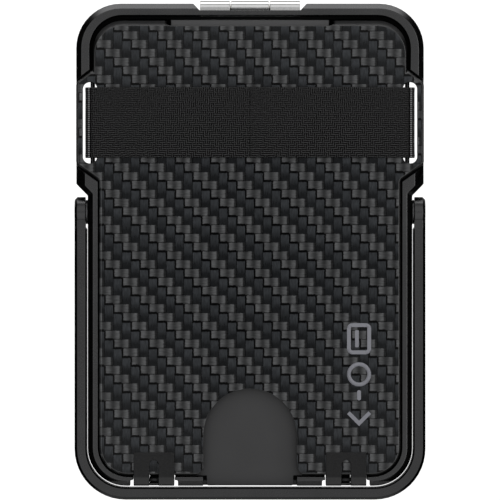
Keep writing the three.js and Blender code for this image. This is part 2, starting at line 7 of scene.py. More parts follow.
import logging
import math
from dataclasses import dataclass
from enum import Enum
from typing import Iterable, Sequence, Union

import bmesh
import bpy
from mathutils import Matrix, Vector


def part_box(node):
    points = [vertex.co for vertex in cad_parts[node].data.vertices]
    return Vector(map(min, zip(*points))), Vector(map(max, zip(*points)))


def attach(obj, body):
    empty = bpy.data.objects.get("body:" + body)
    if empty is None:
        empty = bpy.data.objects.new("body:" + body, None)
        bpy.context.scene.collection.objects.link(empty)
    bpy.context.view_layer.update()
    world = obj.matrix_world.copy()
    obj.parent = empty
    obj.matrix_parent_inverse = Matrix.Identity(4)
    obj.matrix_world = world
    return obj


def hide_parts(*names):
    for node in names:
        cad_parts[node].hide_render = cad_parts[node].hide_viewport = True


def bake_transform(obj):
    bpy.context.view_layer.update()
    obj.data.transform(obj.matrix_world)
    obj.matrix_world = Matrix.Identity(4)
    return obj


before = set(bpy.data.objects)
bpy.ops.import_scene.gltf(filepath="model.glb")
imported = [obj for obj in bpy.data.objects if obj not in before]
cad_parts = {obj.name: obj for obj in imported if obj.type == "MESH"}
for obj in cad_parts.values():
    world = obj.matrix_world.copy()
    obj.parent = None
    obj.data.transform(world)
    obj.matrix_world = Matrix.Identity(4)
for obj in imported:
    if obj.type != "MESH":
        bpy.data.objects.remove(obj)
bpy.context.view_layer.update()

log = logging.getLogger("wallet")

MM = 0.001
FULL_TURN = 2 * math.pi
QUARTER_TURN = math.pi / 2

Solid = bmesh.types.BMesh
Colour = tuple[float, float, float, float]
Tint = tuple[float, float, float]
Value = Union["Tap", float, tuple]
Point2 = tuple[float, float]

WHITE: Tint = (1.0, 1.0, 1.0)
SOFT = 0.1  # Reach of a soft border between two tones, in millimetres.
NEAR_BLACK = 0.0003  # Linear level of a gap that no light reaches.


class Body(Enum):
    """The moving bodies of the wallet."""

    FRAME = "frame"
    COVER = "cover"
    STAND = "stand"
    REAR = "rear_plate"


class Slot(Enum):
    """The material slots that the record names."""

    BLACK_METAL = "black_metal"
    FLOOR_METAL = "floor_metal"
    HINGE_METAL = "hinge_metal"
    CARBON = "carbon"
    BAND_CLOTH = "band_cloth"
    BLACK_STEEL = "black_steel"
    REAR_RUBBER = "rear_rubber"
    NICKEL = "nickel"


class Axis(Enum):
    """The direction that a turned piece points in."""

    X = Vector((1.0, 0.0, 0.0))
    Y = Vector((0.0, 1.0, 0.0))
    Z = Vector((0.0, 0.0, 1.0))


class Side(Enum):
    """The two sides of the wallet, by the sign of X."""

    LEFT = -1
    RIGHT = 1

    @property
    def word(self) -> str:
        """The side's name as the CAD nodes spell it."""
        return self.name.lower()


# ---- Shader graphs -----------------------------------------------------------------------------------------


class Tap:
    """One output of a shader graph. Arithmetic on it adds Math nodes."""

    def __init__(self, graph: "Graph", socket: bpy.types.NodeSocket) -> None:
        """Wraps a socket.

        Args:
            graph: The graph that the socket belongs to.
            socket: The output that is wrapped.
        """
        self.graph = graph
        self.socket = socket

    def __add__(self, other: Value) -> "Tap":
        """The sum."""
        return self.graph.math("ADD", self, other)

    __radd__ = __add__

    def __sub__(self, other: Value) -> "Tap":
        """The difference."""
        return self.graph.math("SUBTRACT", self, other)

    def __rsub__(self, other: Value) -> "Tap":
        """The difference, taken from another value."""
        return self.graph.math("SUBTRACT", other, self)

    def __mul__(self, other: Value) -> "Tap":
        """The product."""
        return self.graph.math("MULTIPLY", self, other)

    __rmul__ = __mul__

    def __truediv__(self, other: Value) -> "Tap":
        """The quotient."""
        return self.graph.math("DIVIDE", self, other)

    def __mod__(self, other: Value) -> "Tap":
        """The remainder, never negative."""
        return self.graph.math("FLOORED_MODULO", self, other)

    def __lt__(self, other: Value) -> "Tap":
        """One where this is the smaller value, else zero."""
        return self.graph.math("LESS_THAN", self, other)

    def __gt__(self, other: Value) -> "Tap":
        """One where this is the larger value, else zero."""
        return self.graph.math("GREATER_THAN", self, other)

    def floor(self) -> "Tap":
        """The whole number below."""
        return self.graph.math("FLOOR", self)

    def size(self) -> "Tap":
        """The value without its sign."""
        return self.graph.math("ABSOLUTE", self)

    def wave(self) -> "Tap":
        """The cosine, for an angle in turns."""
        return self.graph.math("COSINE", self * FULL_TURN)

    def swing(self, amount: float) -> "Tap":
        """Noise with a mean of a half, turned into noise round zero that is that many times as large."""
        return (self - 0.5) * amount

    def tent(self) -> "Tap":
        """One in the middle between 0 and 1, falling straight to zero at both."""
        return 1 - (self * 2 - 1).size()

    def dome(self) -> "Tap":
        """One in the middle between 0 and 1, falling in a parabola to zero at both."""
        place = self * 2 - 1
        return 1 - place * place

    def rise(self, low: float, high: float) -> "Tap":
        """A smooth step.

        Args:
            low: Where it starts to rise from zero.
            high: Where it reaches one. It may be the smaller number, for a fall.

        Returns:
            The step's output.
        """
        start, end = min(low, high), max(low, high)
        step = self.graph.node(
            "ShaderNodeMapRange",
            {"interpolation_type": "SMOOTHSTEP"},
            {"Value": self, "From Min": start, "From Max": end},
        )
        return step if low < high else 1 - step


class Graph:
    """A node tree that is being wired."""

    def __init__(self, tree: bpy.types.NodeTree) -> None:
        """Starts with an empty tree.

        Args:
            tree: The tree of a material or a world.
        """
        self.tree = tree
        tree.nodes.clear()

    def node(
        self, kind: str, settings: dict | None = None, inputs: dict | None = None, output: int | str = 0
    ) -> Tap | None:
        """Creates any node.

        Args:
            kind: The node's type.
            settings: Its own properties, which are set first. "stops" holds a ramp's (place, colour) pairs.
            inputs: Values or taps by socket name or number.
            output: The output that is wanted.

        Returns:
            The tap on that output, or None for a node without outputs.
        """
        made = self.tree.nodes.new(kind)
        for name, value in (settings or {}).items():
            if name == "stops":
                self._set_stops(made.color_ramp, value)
            else:
                setattr(made, name, value)
        for name, value in (inputs or {}).items():
            socket = made.inputs[name]
            if isinstance(value, Tap):
                self.tree.links.new(value.socket, socket)
            else:
                socket.default_value = value
        return Tap(self, made.outputs[output]) if len(made.outputs) else None

    @staticmethod
    def _set_stops(ramp: bpy.types.ColorRamp, stops: Sequence[tuple[float, float]]) -> None:
        """Gives a ramp its grey stops.

        Args:
            ramp: The ramp of a Color Ramp node.
            stops: Pairs of place and brightness.
        """
        while len(ramp.elements) < len(stops):
            ramp.elements.new(1.0)
        for element, (place, level) in zip(ramp.elements, stops):
            element.position = place
            element.color = (level, level, level, 1.0)

    def math(self, operation: str, *values: Value) -> Tap:
        """Adds one Math node.

        Args:
            operation: The node's operation.
            values: Its operands, as taps or numbers.

        Returns:
            The result.
        """
        return self.node("ShaderNodeMath", {"operation": operation}, dict(enumerate(values)))

    def vector(self, x: Value, y: Value, z: Value = 0.0) -> Tap:
        """Joins three values into a vector."""
        return self.node("ShaderNodeCombineXYZ", {}, {"X": x, "Y": y, "Z": z})

    def split(self, vector: Tap) -> tuple[Tap, Tap, Tap]:
        """Splits a vector into its three values."""
        node = self.node("ShaderNodeSeparateXYZ", {}, {"Vector": vector}).socket.node
        return tuple(Tap(self, socket) for socket in node.outputs)

    def point(self) -> Tap:
        """The place on the object, in millimetres."""
        place = self.node("ShaderNodeTexCoord", {}, {}, "Object")
        return self.node("ShaderNodeVectorMath", {"operation": "SCALE"}, {0: place, "Scale": 1 / MM})

    def facing(self) -> Tap:
        """The surface's own direction, in the object's frame."""
        return self.node("ShaderNodeTexCoord", {}, {}, "Normal")

    def noise(self, place: Tap, scale: float, detail: float = 2.0) -> Tap:
        """Noise with a mean of a half.

        Args:
            place: Where it is read.
            scale: Features for each unit of the place.
            detail: Number of finer layers.

        Returns:
            The noise's value.
        """
        return self.node("ShaderNodeTexNoise", {}, {"Vector": place, "Scale": scale, "Detail": detail})

    def mix(self, share: Value, first: Value, second: Value) -> Tap:
        """Mixes two colours.

        Args:
            share: Share of the second, from 0 to 1.
            first: Colour at 0.
            second: Colour at 1.

        Returns:
            The mixed colour.
        """
        settings = {"data_type": "RGBA", "clamp_factor": True}
        return self.node("ShaderNodeMix", settings, {0: share, 6: first, 7: second}, 2)

    def between(self, share: Tap, first: Value, second: Value) -> Tap:
        """Mixes two values.

        Args:
            share: Share of the second, from 0 to 1.
            first: Value at 0.
            second: Value at 1.

        Returns:
            The mixed value.
        """
        settings = {"data_type": "FLOAT", "clamp_factor": True}
        return self.node("ShaderNodeMix", settings, {0: share, 2: first, 3: second})

    def tinted(self, level: Tap, tint: Sequence[float]) -> Tap:
        """A colour of one tint whose brightness follows a value.

        Args:
            level: The brightness, linear.
            tint: The colour at a brightness of one.

        Returns:
            The colour.
        """
        return self.times(self.vector(level, level, level), tint)

    def times(self, vector: Tap, factors: Sequence[float]) -> Tap:
        """Multiplies a vector by a fixed one, value by value."""
        return self.node("ShaderNodeVectorMath", {"operation": "MULTIPLY"}, {0: vector, 1: tuple(factors)})

    def highest(self, *values: Tap) -> Tap:
        """The largest of several values.

        Args:
            values: Two values or more.

        Returns:
            The largest one.
        """
        top = values[0]
        for value in values[1:]:
            top = self.math("MAXIMUM", top, value)
        return top

    def bump(self, height: Tap, depth: float, strength: float = 1.0) -> Tap:
        """Turns a height into a bent normal.

        Args:
            height: Height from 0 to 1.
            depth: What a height of one stands for, in millimetres.
            strength: How much of the bend is kept.

        Returns:
            The normal.
        """
        inputs = {"Height": height, "Distance": depth * MM, "Strength": strength}
        return self.node("ShaderNodeBump", {}, inputs)


# ---- Finishes ----------------------------------------------------------------------------------------------


def grey(level: float) -> Colour:
    """A linear grey of that brightness."""
    return (level, level, level, 1.0)


@dataclass(frozen=True)
class Finish:
    """A finish with a name and the record's slot that it belongs to. Each kind wires its own surface."""

    name: str
    slot: Slot | None = None

    def surface(self, graph: Graph) -> dict[str, Value]:
        """Wires what varies over the surface.

        Args:
            graph: The material's graph.

        Returns:
            Values and taps for the Principled shader, by socket name.
        """
        raise NotImplementedError

    def material(self) -> bpy.types.Material:
        """Makes the material once.

        Returns:
            The material, which is the same one each time.
        """
        made = bpy.data.materials.get(self.name)
        if made is None:
            made = bpy.data.materials.new(self.name)
            made.use_nodes = True
            graph = Graph(made.node_tree)
            shader = graph.node("ShaderNodeBsdfPrincipled", {}, self.surface(graph))
            graph.node("ShaderNodeOutputMaterial", {}, {"Surface": shader})
        return made


@dataclass(frozen=True)
class BlastedMetal(Finish):
    """Bead-blasted and dyed metal: even tone, soft gloss and a fine pitted grain.

    Up-facing floors below pocket_shade_level are painted black, as painted shade in the pockets. What lies
    past painted_light_from, away from the middle along Y, gets painted light: its tone is multiplied by
    painted_light_gain and it is duller by painted_light_dullness as far as painted_light_half from the
    middle, and it is painted black as shade beyond that. Inner walls and bevels are painted black as shade
    below side_shade_below along Y. The places are in millimetres.
    """

    level: float = 0.056
    tint: Tint = (1.0, 1.0, 1.015)
    roughness: float = 0.40
    grain: float = 7.0
    depth: float = 0.004
    mottle: float = 0.16
    cloud_scale: float = 0.11
    cloud_mottle: float = 0.22
    pocket_shade_level: float | None = None
    pocket_shade: float = 0.96
    painted_light_from: float | None = None
    painted_light_border: float = 0.3
    painted_light_gain: float = 1.0
    painted_light_dullness: float = 0.0
    painted_light_half: float = 100.0
    side_shade_below: float | None = None
    side_shade: float = 0.95

    def surface(self, graph: Graph) -> dict[str, Value]:
        """Wires grain in tone, gloss and height.

        Args:
            graph: The material's graph.

        Returns:
            Values and taps for the Principled shader, by socket name.
        """
        point = graph.point()
        across, along, height = graph.split(point)
        pits = graph.noise(point, self.grain, 3.0)
        cloud = graph.noise(point, self.cloud_scale, 2.0)
        level = self.level * (1 + pits.swing(self.mottle) + cloud.swing(self.cloud_mottle))
        # Painted shade: inner walls and bevels low along Y are painted black.
        if self.side_shade_below is not None:
            level = level * (1 - self._painted_side_shade(graph, across, along) * self.side_shade)
        # Painted shade: up-facing floors deep in the pockets are painted black, as the shadow that lies
        # there.
        if self.pocket_shade_level is not None:
            up = graph.split(graph.facing())[2]
            floor = up.rise(0.85, 0.95) * height.rise(self.pocket_shade_level, self.pocket_shade_level - SOFT)
            level = level * (1 - floor * self.pocket_shade)
        metallic = 1.0
        # Painted light past a place along Y: the tone is scaled and the metal made duller so that it catches
        # the overhead light, and past a width from the middle it is painted black as shade.
        if self.painted_light_from is not None:
            away = along * math.copysign(1.0, self.painted_light_from)
            start = abs(self.painted_light_from)
            painted_light = away.rise(start, start + self.painted_light_border)
            inside = across.size().rise(self.painted_light_half + SOFT, self.painted_light_half - SOFT)
            level = level * graph.between(painted_light, 1.0, inside * self.painted_light_gain)
            metallic = 1 - painted_light * self.painted_light_dullness
        return {
            "Base Color": graph.tinted(level, self.tint),
            "Metallic": metallic,
            "Roughness": self.roughness + pits.swing(0.10) + cloud.swing(0.06),
            "Normal": graph.bump(pits, self.depth, 0.5),
        }

    def _painted_side_shade(self, graph: Graph, across: Tap, along: Tap) -> Tap:
        """Where inner walls and bevels are painted black as shade. Bevels that look along -Y aren't.

        Args:
            graph: The material's graph.
            across: Place along X.
            along: Place along Y.

        Returns:
            One where the dye lies, else zero.
        """
        aside, ahead, up = graph.split(graph.facing())
        reach = along.rise(self.side_shade_below + SOFT, self.side_shade_below - SOFT)
        inward = (across * aside + along * ahead).rise(0.5, -0.5)
        bevel = up.rise(0.35, 0.55) * ahead.rise(-0.65, -0.5)
        return up.rise(0.97, 0.90) * graph.highest(inward, bevel) * reach


@dataclass(frozen=True)
class BrushedMetal(Finish):
    """Satin steel with fine scratches along one direction."""

    level: float = 0.66
    roughness: float = 0.20
    stretch: Tint = (9.0, 0.35, 0.35)

    def surface(self, graph: Graph) -> dict[str, Value]:
        """Wires the scratches in tone, gloss and height.

        Args:
            graph: The material's graph.

        Returns:
            Values and taps for the Principled shader, by socket name.
        """
        point = graph.point()
        lines = graph.noise(graph.times(point, self.stretch), 1.0, 4.0)
        cloud = graph.noise(point, 0.3, 2.0)
        level = self.level * (1 + lines.swing(0.18) + cloud.swing(0.08))
        return {
            "Base Color": graph.tinted(level, (1.0, 1.0, 0.99)),
            "Metallic": 1.0,
            "Roughness": self.roughness + lines.swing(0.12),
            "Normal": graph.bump(lines, 0.002, 0.3),
        }


@dataclass(frozen=True)
class CarbonTwill(Finish):
    """Two-by-two carbon twill under clear resin. Lengths are in millimetres, tones are linear.

    crest_highlight and dip are the tones along a weft tow: the painted highlight on its crown and the tone
    between.
    warp_high and warp_low are the tones along a warp tow. The cut edge is painted as light as the cloth past
    lit_x and lit_y, as if lit there, and is painted the highlight tone rim where it looks along +Y.
    """

    pitch: float = 1.643
    start: Point2 = (-22.30, 12.81)
    crest_highlight: float = 0.092
    dip: float = 0.032
    warp_high: float = 0.034
    warp_low: float = 0.0100
    wander: float = 0.16
    # Tone of the painted highlight on the cut edge that looks along +Y.
    rim: float = 0.033
    layer: float = 0.23
    # Past these the cut edge is painted as if lit.
    lit_x: Point2 = (-24.0, -26.0)
    lit_y: Point2 = (14.0, 12.5)
    # Ends of the top recess, where a shadow is painted.
    lip_end: Point2 = (15.55, 41.9)
    weft_tint: Tint = (0.985, 1.0, 1.02)
    warp_tint: Tint = (0.93, 1.0, 1.09)

    def surface(self, graph: Graph) -> dict[str, Value]:
        """Wires the tows, the dark seams between them, the fibres and the laminate at the cut edges.

        Args:
            graph: The material's graph.

        Returns:
            Values and taps for the Principled shader, by socket name.
        """
        point = graph.point()
        x, y, z = graph.split(point)
        sway = graph.noise(graph.vector(x * 1.1, y * 3.2), 1.0, 3.0)
        drift = graph.noise(graph.vector(x * 3.2 + 31, y * 1.1), 1.0, 3.0)
        across = (x - self.start[0]) / self.pitch + sway.swing(self.wander)
        down = (self.start[1] - y) / self.pitch + drift.swing(self.wander)
        column, row = across.floor(), down.floor()
        in_column, in_row = across - column, down - row
        phase = (column - row) % 4
        weft = phase < 1.5
        along_weft = phase + in_column
        along_warp = 3 - phase + in_row

        fibres_x = graph.noise(graph.vector(x * 0.9, y * 4.2), 1.0, 4.0)
        fibres_y = graph.noise(graph.vector(x * 4.2, y * 0.9), 1.0, 4.0)
        cloud = graph.noise(point, 0.30, 3.0)
        patch = graph.noise(graph.vector(column, row), 0.83, 1.0)

        # Painted highlights: two bright bands along each weft tow where its crown catches the light, and
        # painted shade at its end where it dips under the warp.
        tow_highlight = 0.5 + 0.5 * ((along_weft - 0.36) / 1.27).wave()
        weft_level = graph.between(tow_highlight, self.dip, self.crest_highlight)
        weft_level = graph.between(along_weft.rise(1.68, 1.84), weft_level, self.warp_low * 1.5)
        weft_level = weft_level * (0.30 + fibres_x * 1.36) * (0.55 + patch * 0.50 + cloud * 0.36)
        warp_level = graph.between(along_warp.rise(0.5, 1.7), self.warp_high, self.warp_low)
        warp_level = warp_level * (0.15 + fibres_y * 1.70) * (0.50 + patch * 0.55 + cloud * 0.45)

        first = phase < 0.5
        last = phase > 2.5
        left_seam = first * in_column.rise(0.25, 0.14)
        foot_seam = first * in_row.rise(0.78, 0.89)
        head_seam = last * in_row.rise(0.17, 0.05)
        side_seam = (1 - weft) * in_column.rise(0.14, 0.04) * 0.8
        row_seam = weft * in_row.rise(0.85, 0.96) * 0.8
        seam = graph.highest(left_seam, foot_seam, head_seam, side_seam, row_seam)

        weft_colour = graph.tinted(weft_level, self.weft_tint)
        warp_colour = graph.tinted(warp_level, self.warp_tint)
        cloth = graph.mix(weft, warp_colour, weft_colour)
        cloth = graph.mix(seam, cloth, grey(NEAR_BLACK))

        _, ahead, up = graph.split(graph.facing())
        layers = 0.5 + 0.5 * (z / self.layer).wave()
        cut = graph.tinted(0.0015 + 0.004 * layers * (0.5 + fibres_x), WHITE)
        # Painted light: the cut edge takes the cloth's tone on the lower left, as if lit there, and keeps the
        # dark laminate elsewhere. Where it looks along +Y it is painted the highlight tone rim.
        edge = graph.mix(x.rise(*self.lit_x) * y.rise(*self.lit_y), cut, cloth)
        rim = graph.tinted(self.rim * (0.7 + fibres_x * 0.6), (1.0, 1.0, 1.02))
        edge = graph.mix(ahead.rise(0.25, 0.50), edge, rim)
        slanted = up.size().rise(0.995, 0.95)
        colour = graph.mix(slanted, cloth, edge)
        # Painted shadow: the ends of the top recess are painted near black where the gap there lies in shade.
        lip, lip_top = self.lip_end
        gap_shadow = (x.size() - lip).size().rise(0.42, 0.26) * y.rise(lip_top - 0.15, lip_top + 0.05)
        colour = graph.mix(gap_shadow, colour, grey(NEAR_BLACK))

        crown = graph.between(weft, in_column.dome(), in_row.dome())
        height = crown * 0.5 * (1 - seam) + fibres_x * 0.1 + fibres_y * 0.1
        return {
            "Base Color": colour,
            "Metallic": 1 - slanted,
            "Roughness": 0.36 + fibres_x * 0.08,
            "Normal": graph.bump(height, 0.020, 0.6),
            "Coat Weight": 1 - graph.highest(slanted * 0.75, gap_shadow),
            "Coat Roughness": 0.045,
        }


@dataclass(frozen=True)
class WovenElastic(Finish):
    """Woven elastic webbing: short floats that change direction in patches, painted darker at the bends as
    shade, with tight rows at the bends.

    Lengths are in millimetres. loop is the length of the band. The middles of its two narrow sides lie at one
    quarter and three quarters of it. bend, outer_row and inner_row are distances from those two places.
    """

    yarn: float = 0.375
    light: float = 0.046
    dark: float = 0.0004
    loop: float = 130.17
    bend: float = 1.95
    outer_row: float = 2.28
    inner_row: float = 2.64

    def surface(self, graph: Graph) -> dict[str, Value]:
        """Wires the weave from the band's own map, which is in millimetres along and across the band.

        Args:
            graph: The material's graph.

        Returns:
            Values and taps for the Principled shader, by socket name.
        """
        along, across, _ = graph.split(graph.node("ShaderNodeUVMap", {"uv_map": "weave"}))
        wander = graph.noise(graph.vector(along, across), 0.55, 1.0)
        column, row = (along / self.yarn).floor(), (across / self.yarn).floor()
        in_column, in_row = along / self.yarn - column, across / self.yarn - row
        turn = (graph.noise(graph.vector(column, row), 0.16, 2.0) > 0.5) * 2 - 1
        phase = (column + row * turn + (wander * 2.2).floor()) % 5
        lying = phase < 2.5
        yarn = graph.between(lying, in_column.tent(), in_row.tent())
        speck = graph.noise(graph.vector(along, across), 3.1, 3.0)
        level = graph.between(yarn.rise(0.30, 0.80), self.dark, self.light)
        level = level * (0.25 + speck * 1.5)

        distance = ((along - self.loop / 2).size() - self.loop / 4).size()
        # Painted shade: the cloth is darker where the loop turns round its bends.
        bend = (distance - self.bend).size().rise(1.25, 0.95)
        tight = in_row.tent().rise(0.30, 0.75)
        outer_dots, inner_dots = (
            (distance - place).size().rise(0.16, 0.06) for place in (self.outer_row, self.inner_row)
        )
        level = graph.between(bend * 0.75, level, self.dark)
        level = level + tight * (outer_dots * 0.06 + inner_dots * 0.28)
        return {
            "Base Color": graph.tinted(level, (1.0, 1.0, 1.01)),
            "Roughness": 0.82 + speck * 0.12,
            "Specular IOR Level": 0.06,
            "Sheen Weight": 0.01,
            "Normal": graph.bump(yarn * 0.8 + speck * 0.2, 0.10, 1.0),
        }


@dataclass(frozen=True)
class GripRubber(Finish):
    """Moulded soft rubber or soft-touch sheet with a fine leather-like grain."""

    level: float = 0.020
    pebble: float = 2.6
    depth: float = 0.035
    roughness: float = 0.62
    gloss: float = 0.35

    def surface(self, graph: Graph) -> dict[str, Value]:
        """Wires pebbles in height, and dust and rub marks in tone and gloss.

        Args:
            graph: The material's graph.

        Returns:
            Values and taps for the Principled shader, by socket name.
        """
        point = graph.point()
        grain = {"Vector": point, "Scale": self.pebble}
        cells = graph.node("ShaderNodeTexVoronoi", {"feature": "DISTANCE_TO_EDGE"}, grain)
        rub = graph.noise(point, 0.09, 4.0)
        speck = graph.noise(point, 5.0, 2.0)
        level = self.level * (0.8 + cells.rise(0.0, 0.25) * 0.3 + rub.swing(0.5) + speck.swing(0.2))
        return {
            "Base Color": graph.tinted(level, (1.0, 1.0, 1.02)),
            "Roughness": self.roughness + rub.swing(0.2),
            "Specular IOR Level": self.gloss,
            "Normal": graph.bump(cells.rise(0.0, 0.35) + speck * 0.15, self.depth, 0.8),
        }


@dataclass(frozen=True)
class PlatedMetal(Finish):
    """Plated or blackened steel on small turned parts, with faint tool rings and rub marks."""

    level: float = 0.45
    tint: Tint = (1.0, 0.97, 0.92)
    roughness: float = 0.24

    def surface(self, graph: Graph) -> dict[str, Value]:
        """Wires rub marks in tone and gloss.

        Args:
            graph: The material's graph.

        Returns:
            Values and taps for the Principled shader, by socket name.
        """
        point = graph.point()
        rub = graph.noise(point, 1.7, 4.0)
        speck = graph.noise(point, 11.0, 2.0)
        level = self.level * (1 + rub.swing(0.35))
        return {
            "Base Color": graph.tinted(level, self.tint),
            "Metallic": 1.0,
            "Roughness": self.roughness + rub.swing(0.18),
            "Normal": graph.bump(speck, 0.003, 0.4),
        }


@dataclass(frozen=True)
class PrintedInk(Finish):
    """Matt screen-printed ink, a little uneven."""

    level: float = 0.235

    def surface(self, graph: Graph) -> dict[str, Value]:
        """Wires the mottle of the ink film.

        Args:
            graph: The material's graph.

        Returns:
            Values and taps for the Principled shader, by socket name.
        """
        film = graph.noise(graph.point(), 6.0, 3.0)
        return {
            "Base Color": graph.tinted(self.level * (0.9 + film * 0.2), (0.96, 0.97, 1.08)),
            "Roughness": 0.55 + film * 0.1,
            "Specular IOR Level": 0.3,
            "Normal": graph.bump(film, 0.002, 0.4),
        }


@dataclass(frozen=True)
class StudioFloor(Finish):
    """The pale sheet under the wallet."""

    glow: float = 0.93

    def surface(self, graph: Graph) -> dict[str, Value]:
        """Wires an even, lit paper.

        Args:
            graph: The material's graph.

        Returns:
            Values and taps for the Principled shader, by socket name.
        """
        paper = graph.noise(graph.point(), 0.4, 3.0)
        return {
            "Base Color": graph.tinted(0.30 + paper * 0.02, WHITE),
            "Roughness": 0.9,
            "Specular IOR Level": 0.0,
            "Emission Color": grey(1.0),
            "Emission Strength": self.glow,
        }


# The frame's pocket floors are painted black as shade, and its bottom rim past y -43.05 is made darker and
# duller as painted light.
FRAME_METAL = BlastedMetal(
    "frame_metal", Slot.BLACK_METAL, level=0.060, roughness=0.27, mottle=0.3, pocket_shade_level=8.2,
    painted_light_from=-43.05, painted_light_gain=0.9, painted_light_dullness=0.9,
)
# The stand's inner walls and bevels are painted black as shade.
BAIL_METAL = BlastedMetal(
    "bail_metal", Slot.BLACK_METAL, level=0.057, roughness=0.27, mottle=0.3, side_shade_below=4.0
)
# The card floor's top lip is painted lighter as a painted highlight, and painted black as shade past 14.75 mm
# from the middle.
FLOOR_METAL = BlastedMetal(
    "card_floor_metal", Slot.FLOOR_METAL, level=0.058, roughness=0.46, grain=9.0, depth=0.003,
    painted_light_from=41.2, painted_light_gain=2.15, painted_light_half=14.75,
)
SHELL_METAL = BlastedMetal("shell_metal", Slot.BLACK_METAL, level=0.050, roughness=0.44)
# The tabs' folds past y -42.3 are made darker in tone and duller so that they catch the overhead light:
# painted light.
TAB_STEEL = BlastedMetal(
    "tab_steel", Slot.BLACK_STEEL, level=0.025, roughness=0.33, grain=4.0, depth=0.008, mottle=0.9,
    painted_light_from=-42.3, painted_light_gain=0.42, painted_light_dullness=0.8,
)
HINGE_STEEL = BrushedMetal("hinge_steel", Slot.HINGE_METAL)
COVER_CARBON = CarbonTwill("cover_carbon", Slot.CARBON)
BAND_WEBBING = WovenElastic("band_webbing", Slot.BAND_CLOTH)
STITCH_THREAD = WovenElastic("stitch_thread", Slot.BAND_CLOTH, yarn=0.12, light=0.05, dark=0.015)
PAD_RUBBER = GripRubber("pad_rubber", Slot.REAR_RUBBER)
RING_RUBBER = GripRubber(
    "ring_rubber", Slot.REAR_RUBBER, level=0.028, pebble=6.0, depth=0.008, roughness=0.45
)
# A near-black strip that stands in for the shade deep in the arch groove: painted shade.
SHADE_STRIP_RUBBER = GripRubber("shade_strip_rubber", level=0.003, pebble=5.0, depth=0.01, roughness=0.8, gloss=0.1)
NICKEL = PlatedMetal("nickel_plate", Slot.NICKEL)
BLACK_PIN = PlatedMetal("blackened_pin", Slot.BLACK_STEEL, level=0.07, tint=(1.0, 1.0, 1.02), roughness=0.30)
MARK_INK = PrintedInk("mark_ink")


# ---- Mesh tools --------------------------------------------------------------------------------------------


